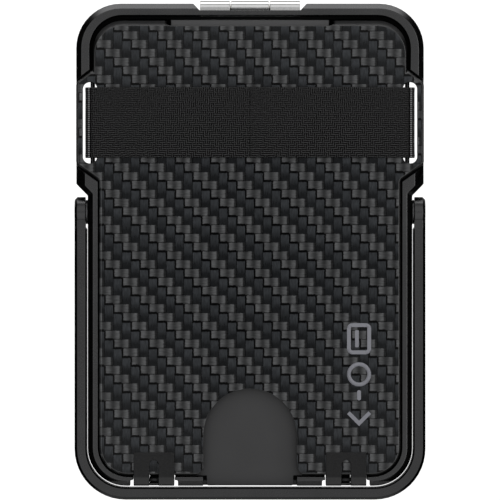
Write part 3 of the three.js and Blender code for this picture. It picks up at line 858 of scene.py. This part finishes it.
@dataclass
class Shop:
    """Makes bmeshes from the CAD nodes, from turned profiles and from flat outlines."""

    weld: float = 0.0015 * MM
    same: float = 0.0001 * MM
    flat_angle: float = math.radians(0.3)
    sharp_angle: float = math.radians(20)
    arc_step: float = math.radians(6)

    def ease(self, shape: Solid, width: float, segments: int = 2) -> None:
        """Rounds the sharp edges of a solid.

        Args:
            shape: The solid.
            width: How far the rounding reaches from the edge, in millimetres.
            segments: Facets across the rounding.
        """
        sharp = [edge for edge in shape.edges if edge.calc_face_angle(0.0) > self.sharp_angle]
        bmesh.ops.bevel(
            shape,
            geom=sharp,
            offset=width * MM,
            offset_type="OFFSET",
            segments=segments,
            profile=0.5,
            affect="EDGES",
            clamp_overlap=False,
            material=-1,
            loop_slide=True,
        )

    def copy_of(self, node: str, width: float, segments: int = 2) -> Solid:
        """Copies a CAD node, joins its triangles into flat faces and rounds its edges.

        Args:
            node: The CAD node's name.
            width: Width of the rounding in millimetres.
            segments: Facets across the rounding.

        Returns:
            The new solid, inside the node's own box.
        """
        shape = bmesh.new()
        shape.from_mesh(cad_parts[node].data)
        bmesh.ops.remove_doubles(shape, verts=shape.verts, dist=self.weld)
        bmesh.ops.dissolve_limit(shape, angle_limit=self.flat_angle, verts=shape.verts, edges=shape.edges)
        self.ease(shape, width, segments)
        low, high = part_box(node)
        for vert in shape.verts:
            vert.co = Vector(max(a, min(b, value)) for value, a, b in zip(vert.co, low, high))
        return shape

    def turned(
        self,
        profile: Sequence[Point2],
        axis: Axis,
        place: Sequence[float],
        ease: float = 0.0,
        steps: int = 40,
        socket: float = 0.0,
    ) -> Solid:
        """Spins a profile round an axis.

        Args:
            profile: Points of radius and height in millimetres, from axis to axis, or a closed ring.
            axis: The direction in which height grows.
            place: Where the axis starts, in millimetres.
            ease: Rounding of the profile's corners in millimetres.
            steps: Facets round the axis.
            socket: Radius of the points that are pulled in to a hexagon, or zero.

        Returns:
            The solid.
        """
        shape = bmesh.new()
        verts = [shape.verts.new((radius * MM, 0.0, height * MM)) for radius, height in profile]
        edges = [shape.edges.new(pair) for pair in zip(verts, verts[1:])]
        if profile[0][0] > 0:
            edges.append(shape.edges.new((verts[-1], verts[0])))
        bmesh.ops.spin(
            shape,
            geom=[*verts, *edges],
            cent=(0, 0, 0),
            axis=(0, 0, 1),
            angle=FULL_TURN,
            steps=steps,
            use_merge=True,
            use_normal_flip=False,
            use_duplicate=False,
        )
        bmesh.ops.remove_doubles(shape, verts=shape.verts, dist=self.weld)
        bmesh.ops.recalc_face_normals(shape, faces=shape.faces)
        if socket > 0:
            self._hexagon(shape, socket * MM)
        if ease > 0:
            self.ease(shape, ease)
        turn = Axis.Z.value.rotation_difference(axis.value).to_matrix()
        bmesh.ops.rotate(shape, verts=shape.verts, cent=(0, 0, 0), matrix=turn)
        bmesh.ops.translate(shape, verts=shape.verts, vec=Vector(place) * MM)
        return shape

    def _hexagon(self, shape: Solid, radius: float) -> None:
        """Pulls the circles of one radius in to a hexagon.

        Args:
            shape: A solid turned about Z.
            radius: The circles' radius, which becomes the hexagon's corner radius.
        """
        half_side = FULL_TURN / 12
        for vert in shape.verts:
            if abs(vert.co.xy.length - radius) < self.same:
                angle = math.atan2(vert.co.y, vert.co.x) % (2 * half_side) - half_side
                vert.co.xy = vert.co.xy * (math.cos(half_side) / math.cos(angle))

    def rounded(self, low: Point2, high: Point2, radius: float) -> list[Point2]:
        """The outline of a rectangle with round corners.

        Args:
            low: Its lowest corner in millimetres.
            high: Its highest corner in millimetres.
            radius: The corners' radius in millimetres.

        Returns:
            Points anticlockwise.
        """
        count = max(2, round(QUARTER_TURN / self.arc_step))
        corners = [
            (high[0] - radius, high[1] - radius),
            (low[0] + radius, high[1] - radius),
            (low[0] + radius, low[1] + radius),
            (high[0] - radius, low[1] + radius),
        ]
        points = []
        for quarter, (x, y) in enumerate(corners):
            for step in range(count + 1):
                angle = (quarter + step / count) * QUARTER_TURN
                points.append((x + radius * math.cos(angle), y + radius * math.sin(angle)))
        return points

    @staticmethod
    def bar(radius: float, length: float, ease: float = 0.1) -> list[Point2]:
        """The profile of a round bar with chamfered ends.

        Args:
            radius: Its radius in millimetres.
            length: Its length in millimetres.
            ease: Size of the chamfers in millimetres.

        Returns:
            Points of radius and height.
        """
        neck = radius - ease
        return [(0, 0), (neck, 0), (radius, ease), (radius, length - ease), (neck, length), (0, length)]

    @staticmethod
    def to_left(shape: Solid) -> Solid:
        """Mirrors a piece of the right side to the left side.

        Args:
            shape: The piece, which is changed.

        Returns:
            The same piece.
        """
        bmesh.ops.scale(shape, vec=(-1, 1, 1), verts=shape.verts)
        bmesh.ops.reverse_faces(shape, faces=shape.faces)
        return shape

    def slab(self, outline: Sequence[Point2], rear: float, front: float, ease: float = 0.0) -> Solid:
        """Raises a flat outline into a solid.

        Args:
            outline: Points anticlockwise, in millimetres.
            rear: Lower level in millimetres.
            front: Upper level in millimetres.
            ease: Rounding of the edges in millimetres.

        Returns:
            The solid.
        """
        shape = bmesh.new()
        face = shape.faces.new([shape.verts.new((x * MM, y * MM, rear * MM)) for x, y in outline])
        self._raise(shape, [face], front - rear)
        if ease > 0:
            self.ease(shape, ease, 3)
        return shape

    def _raise(self, shape: Solid, faces: Sequence[bmesh.types.BMFace], height: float) -> None:
        """Extrudes flat faces up into closed solids.

        Args:
            shape: The mesh that holds the faces.
            faces: The faces of the lower side.
            height: How far up, in millimetres.
        """
        grown = bmesh.ops.extrude_face_region(shape, geom=list(faces), use_keep_orig=True)
        lifted = [item for item in grown["geom"] if isinstance(item, bmesh.types.BMVert)]
        bmesh.ops.translate(shape, verts=lifted, vec=(0, 0, height * MM))
        bmesh.ops.recalc_face_normals(shape, faces=shape.faces)

    def hollow(self, outer: Sequence[Point2], inner: Sequence[Point2], rear: float, front: float) -> Solid:
        """Raises the strip between two outlines with the same number of points.

        Args:
            outer: The outside, anticlockwise, in millimetres.
            inner: The inside, anticlockwise, in millimetres.
            rear: Lower level in millimetres.
            front: Upper level in millimetres.

        Returns:
            The solid.
        """
        shape = bmesh.new()
        rings = []
        for outline in (outer, inner):
            verts = [shape.verts.new((x * MM, y * MM, rear * MM)) for x, y in outline]
            rings += [shape.edges.new(pair) for pair in zip(verts, verts[1:] + verts[:1])]
        strip = bmesh.ops.bridge_loops(shape, edges=rings)
        self._raise(shape, strip["faces"], front - rear)
        return shape

    @staticmethod
    def merge(shapes: Iterable[Solid]) -> Solid:
        """Puts several solids in one mesh.

        Args:
            shapes: The solids, which are freed.

        Returns:
            The mesh that holds them all.
        """
        whole = bmesh.new()
        for shape in shapes:
            spare = bpy.data.meshes.new("spare")
            shape.to_mesh(spare)
            shape.free()
            whole.from_mesh(spare)
            bpy.data.meshes.remove(spare)
        return whole


SHOP = Shop()


@dataclass
class Assembly:
    """A group of pieces, with what is needed to finish each one."""

    normal_weight: int = 90

    def add(
        self,
        name: str,
        shape: Solid,
        finish: Finish,
        body: Body | None,
        stands_for: Sequence[str] = (),
    ) -> bpy.types.Object:
        """Turns a bmesh into a finished piece.

        Args:
            name: The piece's name.
            shape: Its mesh, which is freed.
            finish: Its finish.
            body: The body that it rides on, or None for a piece that rides on no body.
            stands_for: The CAD nodes that it replaces.

        Returns:
            The object.
        """
        mesh = bpy.data.meshes.new(name)
        shape.to_mesh(mesh)
        shape.free()
        mesh.shade_smooth()
        mesh.materials.append(finish.material())
        piece = bpy.data.objects.new(name, mesh)
        bpy.context.scene.collection.objects.link(piece)
        if body is not None:
            even = piece.modifiers.new("even_normals", "WEIGHTED_NORMAL")
            even.mode = "FACE_AREA"
            even.weight = self.normal_weight
            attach(piece, body.value)
        if stands_for:
            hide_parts(*stands_for)
        log.info("%s: %d faces, %s", name, len(mesh.polygons), finish.name)
        return piece

    def dress(self, nodes: Iterable[str], finish: Finish) -> None:
        """Gives CAD nodes that stay a better material.

        Args:
            nodes: Names of the nodes.
            finish: Their finish.
        """
        for name in nodes:
            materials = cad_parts[name].data.materials
            materials.clear()
            materials.append(finish.material())
            log.info("%s: kept, %s", name, finish.name)


# ---- Sub-assemblies ----------------------------------------------------------------------------------------


@dataclass
class FrameAssembly(Assembly):
    """The metal ring, the card floor riveted to it, and the stand's pivots. Sizes in millimetres."""

    ring_ease: float = 0.12
    floor_ease: float = 0.05
    shade_strip_outer: Point2 = (29.93, 43.74)
    shade_strip_inner: Point2 = (28.36, 43.10)
    shade_strip_radii: Point2 = (6.15, 5.8)
    shade_strip_low: float = 34.0
    shade_strip_levels: Point2 = (5.24, 5.9)
    shade_strip_ease: float = 0.08
    rivet_x: float = 27.3
    rivet_rows: tuple[float, ...] = (-33.0, 3.0, 37.5)
    rivet_top: float = 5.95
    rivet_foot: float = 4.65
    rivet_head: float = 0.85
    rivet_shank: float = 0.5
    rivet_rim: float = 0.06
    pivot_radius: float = 1.0
    pivot_reach: Point2 = (28.6, 32.3)
    pivot_place: Point2 = (7.06, 7.0)
    socket_radius: float = 0.55
    socket_depth: float = 0.8
    washer_radii: Point2 = (1.08, 2.25)
    washer_reach: Point2 = (30.37, 30.67)

    def build(self) -> None:
        """Builds the whole sub-assembly."""
        ring = SHOP.copy_of("main_frame", self.ring_ease)
        self.add("frame_ring", ring, FRAME_METAL, Body.FRAME, ["main_frame"])
        floor = SHOP.copy_of("base_plate", self.floor_ease)
        self.add("card_floor", floor, FLOOR_METAL, Body.FRAME, ["base_plate"])
        self.add("arch_shade_strip", self._shade_strip(), SHADE_STRIP_RUBBER, Body.FRAME)
        for side in Side:
            for number, row in enumerate(self.rivet_rows, 1):
                self._rivet(side, number, row)
            self._pivot(side)
            self._washer(side)

    def _shade_strip(self) -> Solid:
        """A near-black rubber strip in the groove between the card floor and the arch, put there as painted
        shade for the deep groove.

        Returns:
            The solid.
        """
        lines = []
        for (half, top), radius in zip((self.shade_strip_outer, self.shade_strip_inner), self.shade_strip_radii):
            points = SHOP.rounded((-half, 0), (half, top), radius)
            upper = [point for point in points if point[1] > self.shade_strip_low]
            lines.append([(half, self.shade_strip_low), *upper, (-half, self.shade_strip_low)])
        return SHOP.slab(lines[0] + lines[1][::-1], *self.shade_strip_levels, self.shade_strip_ease)

    def _rivet(self, side: Side, number: int, row: float) -> None:
        """One countersunk rivet through the floor and the frame.

        Args:
            side: The side it is on.
            number: Its number in the column.
            row: Its height in the column.
        """
        length = self.rivet_top - self.rivet_foot
        head, shank, rim = self.rivet_head, self.rivet_shank, self.rivet_rim
        profile = [
            (0, 0.12), (shank * 0.55, 0.1), (shank * 0.8, 0), (shank, 0.08), (shank, length - (head - shank)),
            (head, length - rim), (head - rim, length), (0.3, length), (0.22, length - 0.1),
            (0, length - 0.12),
        ]
        place = (side.value * self.rivet_x, row, self.rivet_foot)
        shape = SHOP.turned(profile, Axis.Z, place, steps=24)
        label = f"{side.word}_{number}"
        self.add(f"floor_rivet_{label}", shape, BLACK_PIN, Body.FRAME, [f"base_rivet_{label}"])

    def _pivot(self, side: Side) -> None:
        """The shoulder pin of one eye, with a hexagon socket in its outer end.

        Args:
            side: The side it is on.
        """
        start, end = self.pivot_reach
        length, socket = end - start, self.socket_radius
        bottom = length - self.socket_depth
        profile = [
            (0, 0), (self.pivot_radius, 0), (self.pivot_radius, length), (socket + 0.1, length),
            (socket, length - 0.1), (socket, bottom), (0, bottom - 0.15),
        ]
        shape = SHOP.turned(profile, Axis.X, (start, *self.pivot_place), 0.04, 48, socket)
        if side is Side.LEFT:
            shape = SHOP.to_left(shape)
        self.add(f"pivot_pin_{side.word}", shape, BLACK_PIN, Body.FRAME, [f"stand_pivot_{side.word}"])

    def _washer(self, side: Side) -> None:
        """The friction washer between one eye and the frame.

        Args:
            side: The side it is on.
        """
        inner, outer = self.washer_radii
        start, end = self.washer_reach
        profile = [(inner, 0), (outer, 0), (outer, end - start), (inner, end - start)]
        shape = SHOP.turned(profile, Axis.X, (start, *self.pivot_place), 0.03, 64)
        if side is Side.LEFT:
            shape = SHOP.to_left(shape)
        self.add(f"friction_washer_{side.word}", shape, BLACK_PIN, Body.FRAME, [f"stand_washer_{side.word}"])


@dataclass
class TopHinge(Assembly):
    """The steel hinge between the frame and the rear plate. Sizes in millimetres."""

    ease: float = 0.07
    pin_radius: float = 0.6
    pin_half: float = 9.15
    pin_dome: float = 0.22
    axis_place: Point2 = (45.46, 4.0)
    rivet_x: float = 6.2
    rivet_y: float = 40.0
    rivet_foot: float = 4.65
    screw_x: float = 6.5
    screw_y: float = 38.2
    screw_top: float = 4.07
    screw_length: float = 2.0
    screw_socket: float = 0.65

    def build(self) -> None:
        """Builds the whole sub-assembly."""
        bracket = SHOP.copy_of("hinge_bracket", self.ease)
        self.add("hinge_leaf", bracket, HINGE_STEEL, Body.FRAME, ["hinge_bracket"])
        arm = SHOP.copy_of("hinge_arm", self.ease)
        self.add("hinge_tongue", arm, HINGE_STEEL, Body.REAR, ["hinge_arm"])
        self.add("hinge_rod", self._pin(), NICKEL, Body.FRAME, ["hinge_pin"])
        for side in Side:
            self._rivet(side)
            self._screw(side)

    def _pin(self) -> Solid:
        """The hinge pin with domed ends.

        Returns:
            The solid.
        """
        radius, length, dome = self.pin_radius, 2 * self.pin_half, self.pin_dome
        profile = [
            (0, 0), (radius * 0.55, 0.05), (radius, dome), (radius, length - dome),
            (radius * 0.55, length - 0.05), (0, length),
        ]
        return SHOP.turned(profile, Axis.X, (-self.pin_half, *self.axis_place), steps=32)

    def _rivet(self, side: Side) -> None:
        """A rivet that holds the steel leaf to the frame and the floor.

        Args:
            side: The side it is on.
        """
        profile = [
            (0, 0), (1.42, 0), (1.5, 0.06), (0.8, 0.7), (0.8, 1.2), (0.72, 1.25), (0.4, 1.25), (0, 1.15)
        ]
        place = (side.value * self.rivet_x, self.rivet_y, self.rivet_foot)
        shape = SHOP.turned(profile, Axis.Z, place, steps=36)
        self.add(f"leaf_rivet_{side.word}", shape, NICKEL, Body.FRAME, [f"bracket_rivet_{side.word}"])

    def _screw(self, side: Side) -> None:
        """A countersunk screw with a hexagon socket that holds the tongue to the shell.

        Args:
            side: The side it is on.
        """
        top, socket = self.screw_length, self.screw_socket
        profile = [
            (0, 0), (0.6, 0), (0.8, 0.2), (0.8, top - 0.8), (1.6, top - 0.05), (1.55, top), (0.75, top),
            (socket, top - 0.1), (socket, top - 0.6), (0, top - 0.75),
        ]
        place = (side.value * self.screw_x, self.screw_y, self.screw_top - top)
        shape = SHOP.turned(profile, Axis.Z, place, steps=48, socket=socket)
        self.add(f"tongue_screw_{side.word}", shape, BLACK_PIN, Body.REAR, [f"arm_screw_{side.word}"])


@dataclass
class Cover(Assembly):
    """The carbon front plate with its two hinges and its printed mark. Sizes in millimetres."""

    plate_ease: float = 0.12
    tab_ease: float = 0.11
    front: float = 9.4
    ink: float = 0.015
    mark_x: Point2 = (18.1, 22.6)
    stroke: float = 0.72
    card_y: Point2 = (-19.5, -13.7)
    stripe_x: Point2 = (1.5, 2.2)
    stripe_inset: float = 1.3
    ring_gap: float = 1.5
    bar_gap: float = 0.7
    bar_length: float = 1.9
    tip_y: float = -32.9
    pin_radius: float = 0.4
    pin_reach: Point2 = (14.25, 21.61)
    pin_place: Point2 = (-43.05, 6.2)

    def build(self) -> None:
        """Builds the whole sub-assembly."""
        plate = SHOP.copy_of("cover_plate", self.plate_ease)
        self.add("carbon_cover", plate, COVER_CARBON, Body.COVER, ["cover_plate"])
        for side in Side:
            node = f"cover_hinge_leaf_{side.word}"
            leaf = SHOP.copy_of(node, self.tab_ease)
            self.add(f"cover_tab_{side.word}", leaf, TAB_STEEL, Body.COVER, [node])
            self._pin(side)
        self.add("printed_mark", self._mark(), MARK_INK, Body.COVER)

    def _pin(self, side: Side) -> None:
        """The pin of one cover hinge.

        Args:
            side: The side it is on.
        """
        near, far = self.pin_reach
        profile = SHOP.bar(self.pin_radius, far - near)
        start = near if side is Side.RIGHT else -far
        shape = SHOP.turned(profile, Axis.X, (start, *self.pin_place), steps=24)
        self.add(f"tab_pin_{side.word}", shape, BLACK_PIN, Body.FRAME, [f"cover_hinge_pin_{side.word}"])

    def _mark(self) -> Solid:
        """Three plain pictograms in a column: a card, a magnet ring with its bar, and a chevron.

        Returns:
            The film of ink.
        """
        left, right = self.mark_x
        middle, outer = (left + right) / 2, (right - left) / 2
        levels = (self.front, self.front + self.ink)
        line = self.stroke
        half = line / 2
        low, high = self.card_y
        card = SHOP.hollow(
            SHOP.rounded((left, low), (right, high), 1.0),
            SHOP.rounded((left + line, low + line), (right - line, high - line), 0.3),
            *levels,
        )
        stripe_left, stripe_right = (left + place for place in self.stripe_x)
        inset = self.stripe_inset
        stripe = SHOP.slab(
            SHOP.rounded((stripe_left, low + inset), (stripe_right, high - inset), 0.2), *levels
        )
        ring_y = low - self.ring_gap - outer
        inner = outer - line
        ring = SHOP.hollow(
            SHOP.rounded((left, ring_y - outer), (right, ring_y + outer), outer - 0.001),
            SHOP.rounded((left + line, ring_y - inner), (right - line, ring_y + inner), inner - 0.001),
            *levels,
        )
        top = ring_y - outer - self.bar_gap
        bar = SHOP.slab(
            SHOP.rounded((middle - half, top - self.bar_length), (middle + half, top), half - 0.01), *levels
        )
        tip, arm = self.tip_y, self.tip_y + outer
        slant = line * 0.7
        chevron = SHOP.slab(
            [
                (middle, tip), (right, arm), (right - slant, arm + slant), (middle, tip + line * 1.41),
                (left + slant, arm + slant), (left, arm),
            ],
            *levels,
        )
        return SHOP.merge([card, stripe, ring, bar, chevron])


@dataclass
class Band(Assembly):
    """The elastic loop over the cover with the two rods that it turns on. Sizes in millimetres."""

    half: float = 30.38
    rear: float = 4.85
    front: float = 9.95
    corner: float = 0.9
    low: float = 17.2
    high: float = 30.3
    thick: float = 0.8
    slack: float = 0.05
    relief: float = 0.12
    steps_along: int = 520
    steps_across: int = 36
    rod_x: float = 29.45
    rod_z: float = 5.725
    rod_radius: float = 0.425
    rod_reach: Point2 = (14.6, 32.7)
    still_z: float = 6.2
    carried_z: float = 9.4
    stitch_rows: Point2 = (-2.4, 2.4)
    stitch_count: int = 12
    stitch_margin: float = 1.1
    stitch_length: float = 0.75

    @property
    def straight(self) -> Point2:
        """Lengths of the flat runs: across the front, and down one side."""
        return 2 * (self.half - self.corner), self.front - self.rear - 2 * self.corner

    @property
    def length(self) -> float:
        """Length of the loop along the middle of the cloth."""
        return 2 * sum(self.straight) + FULL_TURN * self.corner

    def build(self) -> None:
        """Builds the whole sub-assembly."""
        for side in Side:
            self._rod(side)
        band = self.add("elastic_strap", self._cloth(), BAND_WEBBING, None, ["elastic_band"])
        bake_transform(band)
        self.add("strap_stitches", self._stitches(), STITCH_THREAD, Body.FRAME)

    def _rod(self, side: Side) -> None:
        """One rod across a window.

        Args:
            side: The side it is on.
        """
        start, end = self.rod_reach
        profile = SHOP.bar(self.rod_radius, end - start)
        shape = SHOP.turned(profile, Axis.Y, (side.value * self.rod_x, start, self.rod_z), steps=32)
        self.add(f"band_rod_{side.word}", shape, BLACK_PIN, Body.FRAME, [f"band_pin_{side.word}"])

    def _along(self, distance: float) -> tuple[Vector, Vector]:
        """A point of the loop's middle line.

        Args:
            distance: Distance along the loop from the middle of the front.

        Returns:
            The point in X and Z, and the direction out of the loop.
        """
        across, drop = self.straight
        bend = QUARTER_TURN * self.corner
        half, front, rear, corner = self.half, self.front, self.rear, self.corner
        runs = [
            (across / 2, Vector((0, front)), 0),
            (bend, Vector((half - corner, front)), 0),
            (drop, Vector((half, front - corner)), 1),
            (bend, Vector((half, rear + corner)), 1),
            (across, Vector((half - corner, rear)), 2),
            (bend, Vector((corner - half, rear)), 2),
            (drop, Vector((-half, rear + corner)), 3),
            (bend, Vector((-half, front - corner)), 3),
            (across / 2, Vector((corner - half, front)), 4),
        ]
        for index, (length, start, quarter) in enumerate(runs):
            if distance <= length or index == len(runs) - 1:
                break
            distance -= length
        turn = -quarter * QUARTER_TURN
        heading = Vector((math.cos(turn), math.sin(turn)))
        outward = Vector((-heading.y, heading.x))
        if index % 2 == 0:
            return start + heading * distance, outward
        angle = distance / self.corner
        centre = start - outward * self.corner
        direction = outward * math.cos(angle) + heading * math.sin(angle)
        return centre + direction * self.corner, direction

    def _cloth(self) -> Solid:
        """The webbing: a grid laid round the loop, with a selvedge at each edge, made as thick as the cloth.

        Returns:
            The closed cloth.
        """
        shape = bmesh.new()
        bmesh.ops.create_grid(
            shape, x_segments=self.steps_along, y_segments=self.steps_across, size=0.5, calc_uvs=True
        )
        weave = shape.loops.layers.uv.active or shape.loops.layers.uv.new("weave")
        width = self.high - self.low
        for face in shape.faces:
            for loop in face.loops:
                place = loop.vert.co
                loop[weave].uv = ((place.x + 0.5) * self.length, (place.y + 0.5) * width)
        for vert in shape.verts:
            share, across = vert.co.x + 0.5, vert.co.y + 0.5
            distance = share * self.length
            point, outward = self._along(distance)
            edge = min(across, 1 - across) * width
            selvedge = 0.035 * math.exp(-((edge - 0.45) / 0.3) ** 2)
            ripple = 0.012 * math.sin(distance * 1.9 + 3 * across)
            ripple += 0.008 * math.sin(distance * 5.3 - 7 * across)
            point = point + outward * (self.thick / 2 - self.slack + selvedge + ripple)
            pull = 0.02 * math.sin(distance * 0.8) * (2 * across - 1)
            vert.co = Vector((point.x, self.low + across * width + pull, point.y)) * MM
        bmesh.ops.remove_doubles(shape, verts=shape.verts, dist=0.002 * MM)
        shape.normal_update()
        bmesh.ops.recalc_face_normals(shape, faces=shape.faces)
        centre = Vector((0, 0, (self.front + self.rear) / 2 * MM))
        outer = sum(
            face.normal.dot(face.calc_center_median() - centre) * face.calc_area() for face in shape.faces
        )
        if outer < 0:
            bmesh.ops.reverse_faces(shape, faces=shape.faces)
        shape.normal_update()
        bmesh.ops.solidify(shape, geom=shape.faces, thickness=(self.thick - self.relief) * MM)
        bmesh.ops.recalc_face_normals(shape, faces=shape.faces)
        return shape

    def _stitches(self) -> Solid:
        """Two rows of short stitches where the loop is closed, behind the card floor.

        Returns:
            All stitches in one mesh.
        """
        profile = [(0, 0), (0.07, 0.04), (0.09, 0.2), (0.09, 0.55), (0.07, 0.71), (0, self.stitch_length)]
        step = (self.high - self.low - 2 * self.stitch_margin) / (self.stitch_count - 1)
        level = self.rear - self.thick / 2 + 0.02
        stitches = []
        for row in self.stitch_rows:
            for number in range(self.stitch_count):
                y = self.low + self.stitch_margin + number * step - self.stitch_length / 2
                stitches.append(SHOP.turned(profile, Axis.Y, (row, y, level), steps=8))
        return SHOP.merge(stitches)


@dataclass
class Stand(Assembly):
    """The U-shaped bar that folds out. Sizes in millimetres."""

    ease: float = 0.06

    def build(self) -> None:
        """Builds the whole sub-assembly."""
        bail = SHOP.copy_of("stand_bail", self.ease, 3)
        self.add("stand_bar", bail, BAIL_METAL, Body.STAND, ["stand_bail"])


@dataclass
class RearPlate(Assembly):
    """The magnet shell and the pad that closes it. Sizes in millimetres."""

    shell_ease: float = 0.08
    pad_half: float = 27.0
    pad_low: float = -40.7
    pad_high: float = 43.0
    pad_radius: float = 4.1
    pad_rear: float = 0.12
    pad_front: float = 1.15
    pad_ease: float = 0.3
    ring_y: float = 4.0
    ring_radii: Point2 = (22.9, 26.3)
    ring_ease: float = 0.25
    sink: float = 0.05
    bar_half: float = 2.4
    bar_low: float = -37.5
    bar_high: float = -24.5
    bar_radius: float = 1.2
    bar_ease: float = 0.06
    magnets: int = 16

    def build(self) -> None:
        """Builds the whole sub-assembly."""
        shell = SHOP.copy_of("magnet_housing", self.shell_ease)
        self.add("magnet_shell", shell, SHELL_METAL, Body.REAR, ["magnet_housing"])
        low, high = (-self.pad_half, self.pad_low), (self.pad_half, self.pad_high)
        outline = SHOP.rounded(low, high, self.pad_radius)
        pad = SHOP.slab(outline, self.pad_rear, self.pad_front, self.pad_ease)
        self.add("grip_pad", pad, PAD_RUBBER, Body.REAR, ["rear_pad"])
        self._ring()
        self._bar()
        hidden = [f"ring_magnet_{number}" for number in range(1, self.magnets + 1)]
        self.dress([*hidden, "shunt_ring", "align_magnet"], NICKEL)

    def _ring(self) -> None:
        """The raised ring that marks the magnets."""
        inner, outer = self.ring_radii
        ease, rise = self.ring_ease, self.pad_rear + self.sink
        profile = [
            (inner, 0.05), (inner + ease, 0), (outer - ease, 0), (outer, 0.05), (outer, rise), (inner, rise)
        ]
        shape = SHOP.turned(profile, Axis.Z, (0, self.ring_y, 0), steps=128)
        self.add("grip_ring", shape, RING_RUBBER, Body.REAR)

    def _bar(self) -> None:
        """The raised bar that marks the alignment magnet."""
        low, high = (-self.bar_half, self.bar_low), (self.bar_half, self.bar_high)
        outline = SHOP.rounded(low, high, self.bar_radius)
        shape = SHOP.slab(outline, 0, self.pad_rear + self.sink, self.bar_ease)
        self.add("grip_bar", shape, RING_RUBBER, Body.REAR)


# ---- Studio ------------------------------------------------------------------------------------------------


@dataclass
class Studio:
    """A pale floor, a soft overhead ring of light with panels at both ends, and a camera straight above.

    Lengths are in metres. ring_stops gives the light's level from straight below at 0 to straight above at 1.
    """

    floor_half: float = 1.2
    floor_drop: float = 0.08
    camera_height: float = 0.9
    view_width: float = 0.09329
    centre: Point2 = (0.0, -0.00005)
    sensor: float = 36.0
    front_level: float = 0.0094
    clip: Point2 = (0.01, 10.0)
    ring_stops: tuple[Point2, ...] = (
        (0.0, 0.30), (0.22, 0.20), (0.34, 0.0), (0.70, 0.0), (0.78, 0.50), (0.87, 0.97), (0.9965, 0.97),
        (0.9985, 0.03),
    )
    top_panel: float = 2.8
    foot_panel: float = 0.5
    side_strip: float = 2.6
    strip_height: float = 0.66

    def build(self) -> None:
        """Builds the floor, the light and the camera."""
        self._floor()
        self._light()
        self._camera()
        bpy.context.scene.view_settings.view_transform = "Standard"

    def _floor(self) -> None:
        """The sheet far below, so that the rear plate can swing. Gloss doesn't mirror it."""
        shape = bmesh.new()
        bmesh.ops.create_grid(shape, x_segments=2, y_segments=2, size=self.floor_half)
        mesh = bpy.data.meshes.new("studio_floor")
        shape.to_mesh(mesh)
        shape.free()
        mesh.transform(Matrix.Translation((0, 0, -self.floor_drop)))
        mesh.materials.append(StudioFloor("studio_paper").material())
        floor = bpy.data.objects.new("studio_floor", mesh)
        bpy.context.scene.collection.objects.link(floor)
        floor.visible_glossy = False

    def _light(self) -> None:
        """Light by direction: a broad ring overhead, bright past the top edge and dark at the sides."""
        world = bpy.data.worlds.new("soft_studio")
        world.use_nodes = True
        graph = Graph(world.node_tree)
        x, y, z = graph.split(graph.node("ShaderNodeTexCoord", {}, {}, "Generated"))
        ring = graph.node("ShaderNodeValToRGB", {"stops": self.ring_stops}, {"Fac": z * 0.5 + 0.5})
        level = graph.node("ShaderNodeRGBToBW", {}, {"Color": ring})
        low = z.size().rise(0.45, 0.15)
        level = level + y.rise(0.72, 0.92) * low * self.top_panel
        level = level + (0 - y).rise(0.72, 0.92) * low * self.foot_panel
        strip = x.rise(0.60, 0.75) * (z - self.strip_height).size().rise(0.16, 0.08)
        level = level + strip * self.side_strip
        shader = graph.node("ShaderNodeBackground", {}, {"Color": grey(1.0), "Strength": level})
        graph.node("ShaderNodeOutputWorld", {}, {"Surface": shader})
        bpy.context.scene.world = world

    def _camera(self) -> None:
        """A long lens straight above the wallet."""
        data = bpy.data.cameras.new("top_camera")
        data.sensor_width = self.sensor
        data.lens = self.sensor * self.camera_height / self.view_width
        data.clip_start, data.clip_end = self.clip
        camera = bpy.data.objects.new("top_camera", data)
        camera.location = (*self.centre, self.front_level + self.camera_height)
        bpy.context.scene.collection.objects.link(camera)
        bpy.context.scene.camera = camera


def main() -> None:
    """Builds the sub-assemblies and the studio in order."""
    logging.basicConfig(level=logging.INFO, format="%(name)s %(message)s")
    for part in (FrameAssembly(), TopHinge(), Cover(), Band(), Stand(), RearPlate(), Studio()):
        log.info("%s", type(part).__name__)
        part.build()


if __name__ == "__main__":
    main()
